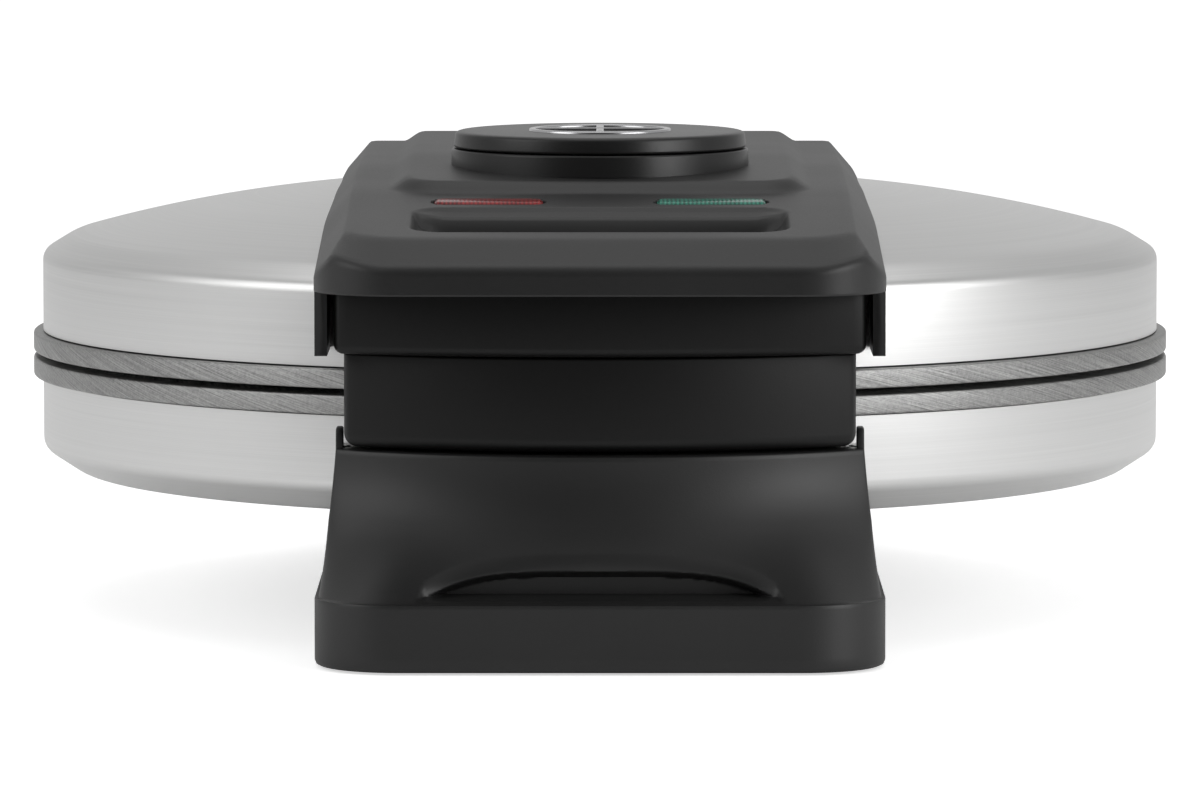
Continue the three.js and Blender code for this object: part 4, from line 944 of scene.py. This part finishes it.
def base_outlines():
    """Matching plan outlines, counted alike from the middle of the right side round the front to the left
    side and back round the rear: the square foot, and the wall's top with its bowed front."""
    side = spread(0.0, (80, 4.0), (85, 1.0), (96, 0.35), (SIDE_RUN, 1.0))
    turn = np.linspace(0, np.pi / 2, 14)
    bend_y = FRONT_Y + FRONT_CORNER

    def bend(half, radius):
        x = half - radius + radius * np.cos(turn)
        return np.stack([x, FRONT_Y + radius - radius * np.sin(turn)], -1)[1:]

    sweep = np.concatenate([np.linspace(1, 0.86, 12)[1:], np.linspace(0.86, 0, 56)[1:]])
    foot_side = np.stack([np.full(len(side), BAND_HALF), side * bend_y / SIDE_RUN], -1)
    foot_bend = bend(BAND_HALF, FRONT_CORNER)
    foot_front = np.stack([(BAND_HALF - FRONT_CORNER) * sweep, np.full(len(sweep), FRONT_Y)], -1)
    foot = np.concatenate([foot_side, foot_bend, foot_front])
    centre_y = ARC_RADIUS - WALL_REACH
    x = np.concatenate([foot_bend[:, 0], foot_front[:, 0]]) * UPPER_HALF / BAND_HALF
    top_front = np.stack([x, centre_y - np.sqrt(ARC_RADIUS ** 2 - x ** 2)], -1)
    top_side = np.stack([np.full(len(side), UPPER_HALF), side * (top_front[0, 1] + 0.8) / SIDE_RUN], -1)
    top = np.concatenate([top_side, top_front])
    rear = np.concatenate([
        np.stack([np.full(len(side), REAR_HALF), side * (FRONT_Y + BASE_REAR_CORNER) / SIDE_RUN], -1),
        bend(REAR_HALF, BASE_REAR_CORNER),
        np.stack([(REAR_HALF - BASE_REAR_CORNER) * sweep, np.full(len(sweep), FRONT_Y)], -1),
    ])

    def all_round(front, back):
        return np.concatenate([
            front, (front[-2::-1]) * (-1, 1), (back[1:]) * (-1, -1), (back[-2:0:-1]) * (1, -1),
        ])

    return all_round(foot, foot), all_round(top, rear)


foot_plan, wall_plan = base_outlines()
foot_ahead = np.roll(foot_plan, -1, 0) - np.roll(foot_plan, 1, 0)
foot_inward = np.stack([foot_ahead[:, 1], -foot_ahead[:, 0]], -1)
foot_inward = foot_inward / np.linalg.norm(foot_ahead, axis=1)[:, None]
around_radius = np.hypot(wall_plan[:, 0], wall_plan[:, 1])
cradle_heights = (pan_floor - 0.15, pan_floor + PAN_BEVEL - 0.1)
under_pan = np.interp(around_radius, (CRADLE_INNER, CRADLE_OUTER), cradle_heights)
ends_top = np.where(wall_plan[:, 1] < 0, WALL_TOP, REAR_TOP)
wall_top = np.where(around_radius > CRADLE_OUTER + 0.1, ends_top, under_pan)
outward = wall_plan / around_radius[:, None]
pan_side = np.where(
    (around_radius > CLEAR_OF_PAN)[:, None], outward * (CLEAR_OF_PLATES + 0.2),
    wall_plan - np.stack([np.sign(wall_plan[:, 0]) * BASE_WALL, 0 * around_radius], -1),
)


def flared(t):
    """How far the wall has drawn in from the foot's outline to its own, t of the way up."""
    return 1 - (1 - t) ** 2.5


def base_row(z, inset=0.0):
    """Outline of the base at height z, drawn in by inset, and by a shelf that fades out above the foot."""
    t = np.broadcast_to(np.clip((z - FOOT_TOP) / (WALL_TOP - FOOT_TOP), 0, 1), (len(foot_plan),))
    plan = foot_plan + (wall_plan - foot_plan) * np.stack([0.6 * t + 0.4 * flared(t), flared(t)], -1)
    shelf = FOOT_SHELF * np.clip(1 - t / SHELF_FADE, 0, 1) * (t > 0)
    plan = plan + foot_inward * (shelf + inset)[:, None]
    return np.concatenate([plan, np.broadcast_to(z, (len(plan),))[:, None]], -1)


def arched(rows):
    """Presses the arched finger recess into the front wall. Its crown falls with the fourth power of x and
    drops to the foot at both ends; below it a gently sloped border leads to a sharp inner edge."""
    x, y, z = rows[..., 0], rows[..., 1], rows[..., 2]
    ends = np.sqrt(np.clip((ARCH_HALF + 0.8 - np.abs(x)) / 1.4, 0, 1))
    crown = FOOT_TOP + (ARCH_RISE - ARCH_FALL * (np.abs(x) / ARCH_HALF) ** 4.3) * ends
    depth = np.interp(crown - z, (0, 0.3, 3.1, 4.3), (0, 0.02, 0.38, 1.0))
    depth = depth * eased((z - FOOT_TOP - 0.2) / 0.9) * (y < -90)
    rows[..., 1] = y + depth * np.maximum(ARCH_BACK_Y - y, 0)
    return rows


base_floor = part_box("base_housing")[0][2] / mm
rows = [base_row(base_floor, 0.8), base_row(base_floor + 0.25, 0.25), base_row(base_floor + 0.9)]
rows += [base_row(z) for z in (3.0, 6.0, 9.0, 11.4, FOOT_TOP - 0.25)]
rows += [base_row(FOOT_TOP - 0.05, 0.08), base_row(FOOT_TOP, 0.25), base_row(FOOT_TOP + 0.02)]
climb = np.concatenate([np.linspace(0.012, 0.36, 34), np.linspace(0.38, 0.985, 22)])
rows += [base_row(FOOT_TOP + t * (wall_top - FOOT_TOP)) for t in climb]
rows += [base_row(wall_top - 0.15, 0.15), base_row(wall_top, 0.6)]
outer = arched(np.array(rows))
inner_top = np.concatenate([pan_side, wall_top[:, None]], -1)
low_inner = base_row(INNER_FLOOR, BASE_WALL)
pan_foot = inner_top * (1, 1, 0) + (0, 0, INNER_FLOOR)
rim_inner = base_row(base_floor, BASE_WALL)
base_grid = np.concatenate([outer, [inner_top, pan_foot, low_inner, rim_inner]])
base = make_piece("base_band", [(base_grid, True, True)], SATIN_BLACK, smooth_angle=50)
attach(base, "base")
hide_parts("base_housing")

TAB_FRONT, TAB_BACK = -104.4, -98.0
TAB_INNER = 45.15
TAB_TOP = 40.6
tab_side = filleted([
    (TAB_FRONT, WALL_TOP - 3, 0), (TAB_BACK, WALL_TOP - 3, 0),
    (TAB_BACK, TAB_TOP, 1.8), (TAB_FRONT + 0.2, TAB_TOP, 1.8),
])
round_over = np.linspace(0, np.pi, 25)
ear_side = np.concatenate([
    np.array([(HINGE_Y - KNUCKLE, REAR_TOP - 3), (HINGE_Y + KNUCKLE, REAR_TOP - 3)]),
    np.stack([HINGE_Y + KNUCKLE * np.cos(round_over), HINGE_Z + KNUCKLE * np.sin(round_over)], -1),
])
EAR_THICK = 8.0
EAR_INNER = NECK_HALF + 0.3
EAR_OUTER = EAR_INNER + EAR_THICK
fittings = []
for side in (-1, 1):
    tab = sorted((side * TAB_INNER, side * UPPER_HALF))
    ear = sorted((side * EAR_INNER, side * EAR_OUTER))
    fittings.append(turned_over(upright_slab(tab_side, *tab, 0.3, 0.3, steps=3)))
    fittings.append(turned_over(upright_slab(ear_side, *ear, 0.9, 0.9)))
base_fittings = make_piece("base_tabs_and_ears", fittings, SATIN_BLACK)
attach(base_fittings, "base")


# ---- Feet and inner parts --------------------------------------------------------------------------
# The four rubber pads are turned. The gland, the pins, the screws and everything inside keep the meshes of
# the part and only get their materials here.
FOOT_PAD_TALL = 2.2


def plated_steel(name, tint, rough):
    dark = tuple(0.8 * channel for channel in tint)
    return speckled(name, 1400.0, dark, tint, rough, 0.2, depth=0.00003, metallic=1.0)


RUBBER = speckled("foot_rubber", 1500.0, (0.012,) * 3, (0.03,) * 3, 0.65, 0.2, depth=0.00005)
PLATED = plated_steel("zinc_plated_steel", (0.62, 0.62, 0.62), 0.22)
HEATER_SHEATH = plated_steel("oxidised_sheath", (0.26, 0.23, 0.19), 0.42)
CERAMIC = speckled("unglazed_ceramic", 1200.0, (0.66, 0.62, 0.53), (0.80, 0.77, 0.69), 0.55, 0.2)
ENVELOPE = speckled("lamp_envelope", 900.0, (0.8, 0.7, 0.55), (0.9, 0.82, 0.7), 0.05, 0.1, clear=0.7)

for place in ("front_left", "front_right", "rear_left", "rear_right"):
    low, high = (np.array(corner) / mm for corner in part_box(f"foot_{place}"))
    centre = tuple(((low + high) / 2)[:2])
    radius = (high[0] - low[0]) / 2
    pad = filleted([
        (0.0, 0.0, 0), (radius - 0.5, 0.0, 0.4), (radius, 0.7, 0.5),
        (radius - 0.3, FOOT_PAD_TALL, 0.2), (0.0, FOOT_PAD_TALL, 0),
    ], 4)
    foot = make_piece(f"foot_pad_{place}", [turned_grid(pad, centre, 48)], RUBBER)
    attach(foot, "base")
    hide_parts(f"foot_{place}")


def carried(material, *names):
    """Gives the named nodes of the part their material; their meshes stay as they are."""
    for name in names:
        mesh = frame["nodes"][name].data
        mesh.materials.clear()
        mesh.materials.append(material)


carried(SATIN_BLACK, "base_cover")
carried(RUBBER, "cord_gland")
carried(PLATED, "hinge_pin_left", "hinge_pin_right", "guard_screw_left", "guard_screw_right", "dial_shaft",
        "thermal_fuse", "lower_heat_shield", "upper_heat_shield",
        *(f"cover_screw_{number}" for number in (1, 2, 3, 4)))
carried(HEATER_SHEATH, "lower_heating_element", "upper_heating_element")
carried(CERAMIC, "terminal_block", "lamp_holder", "thermostat")
carried(ENVELOPE, "power_lamp", "ready_lamp")

low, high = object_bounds()
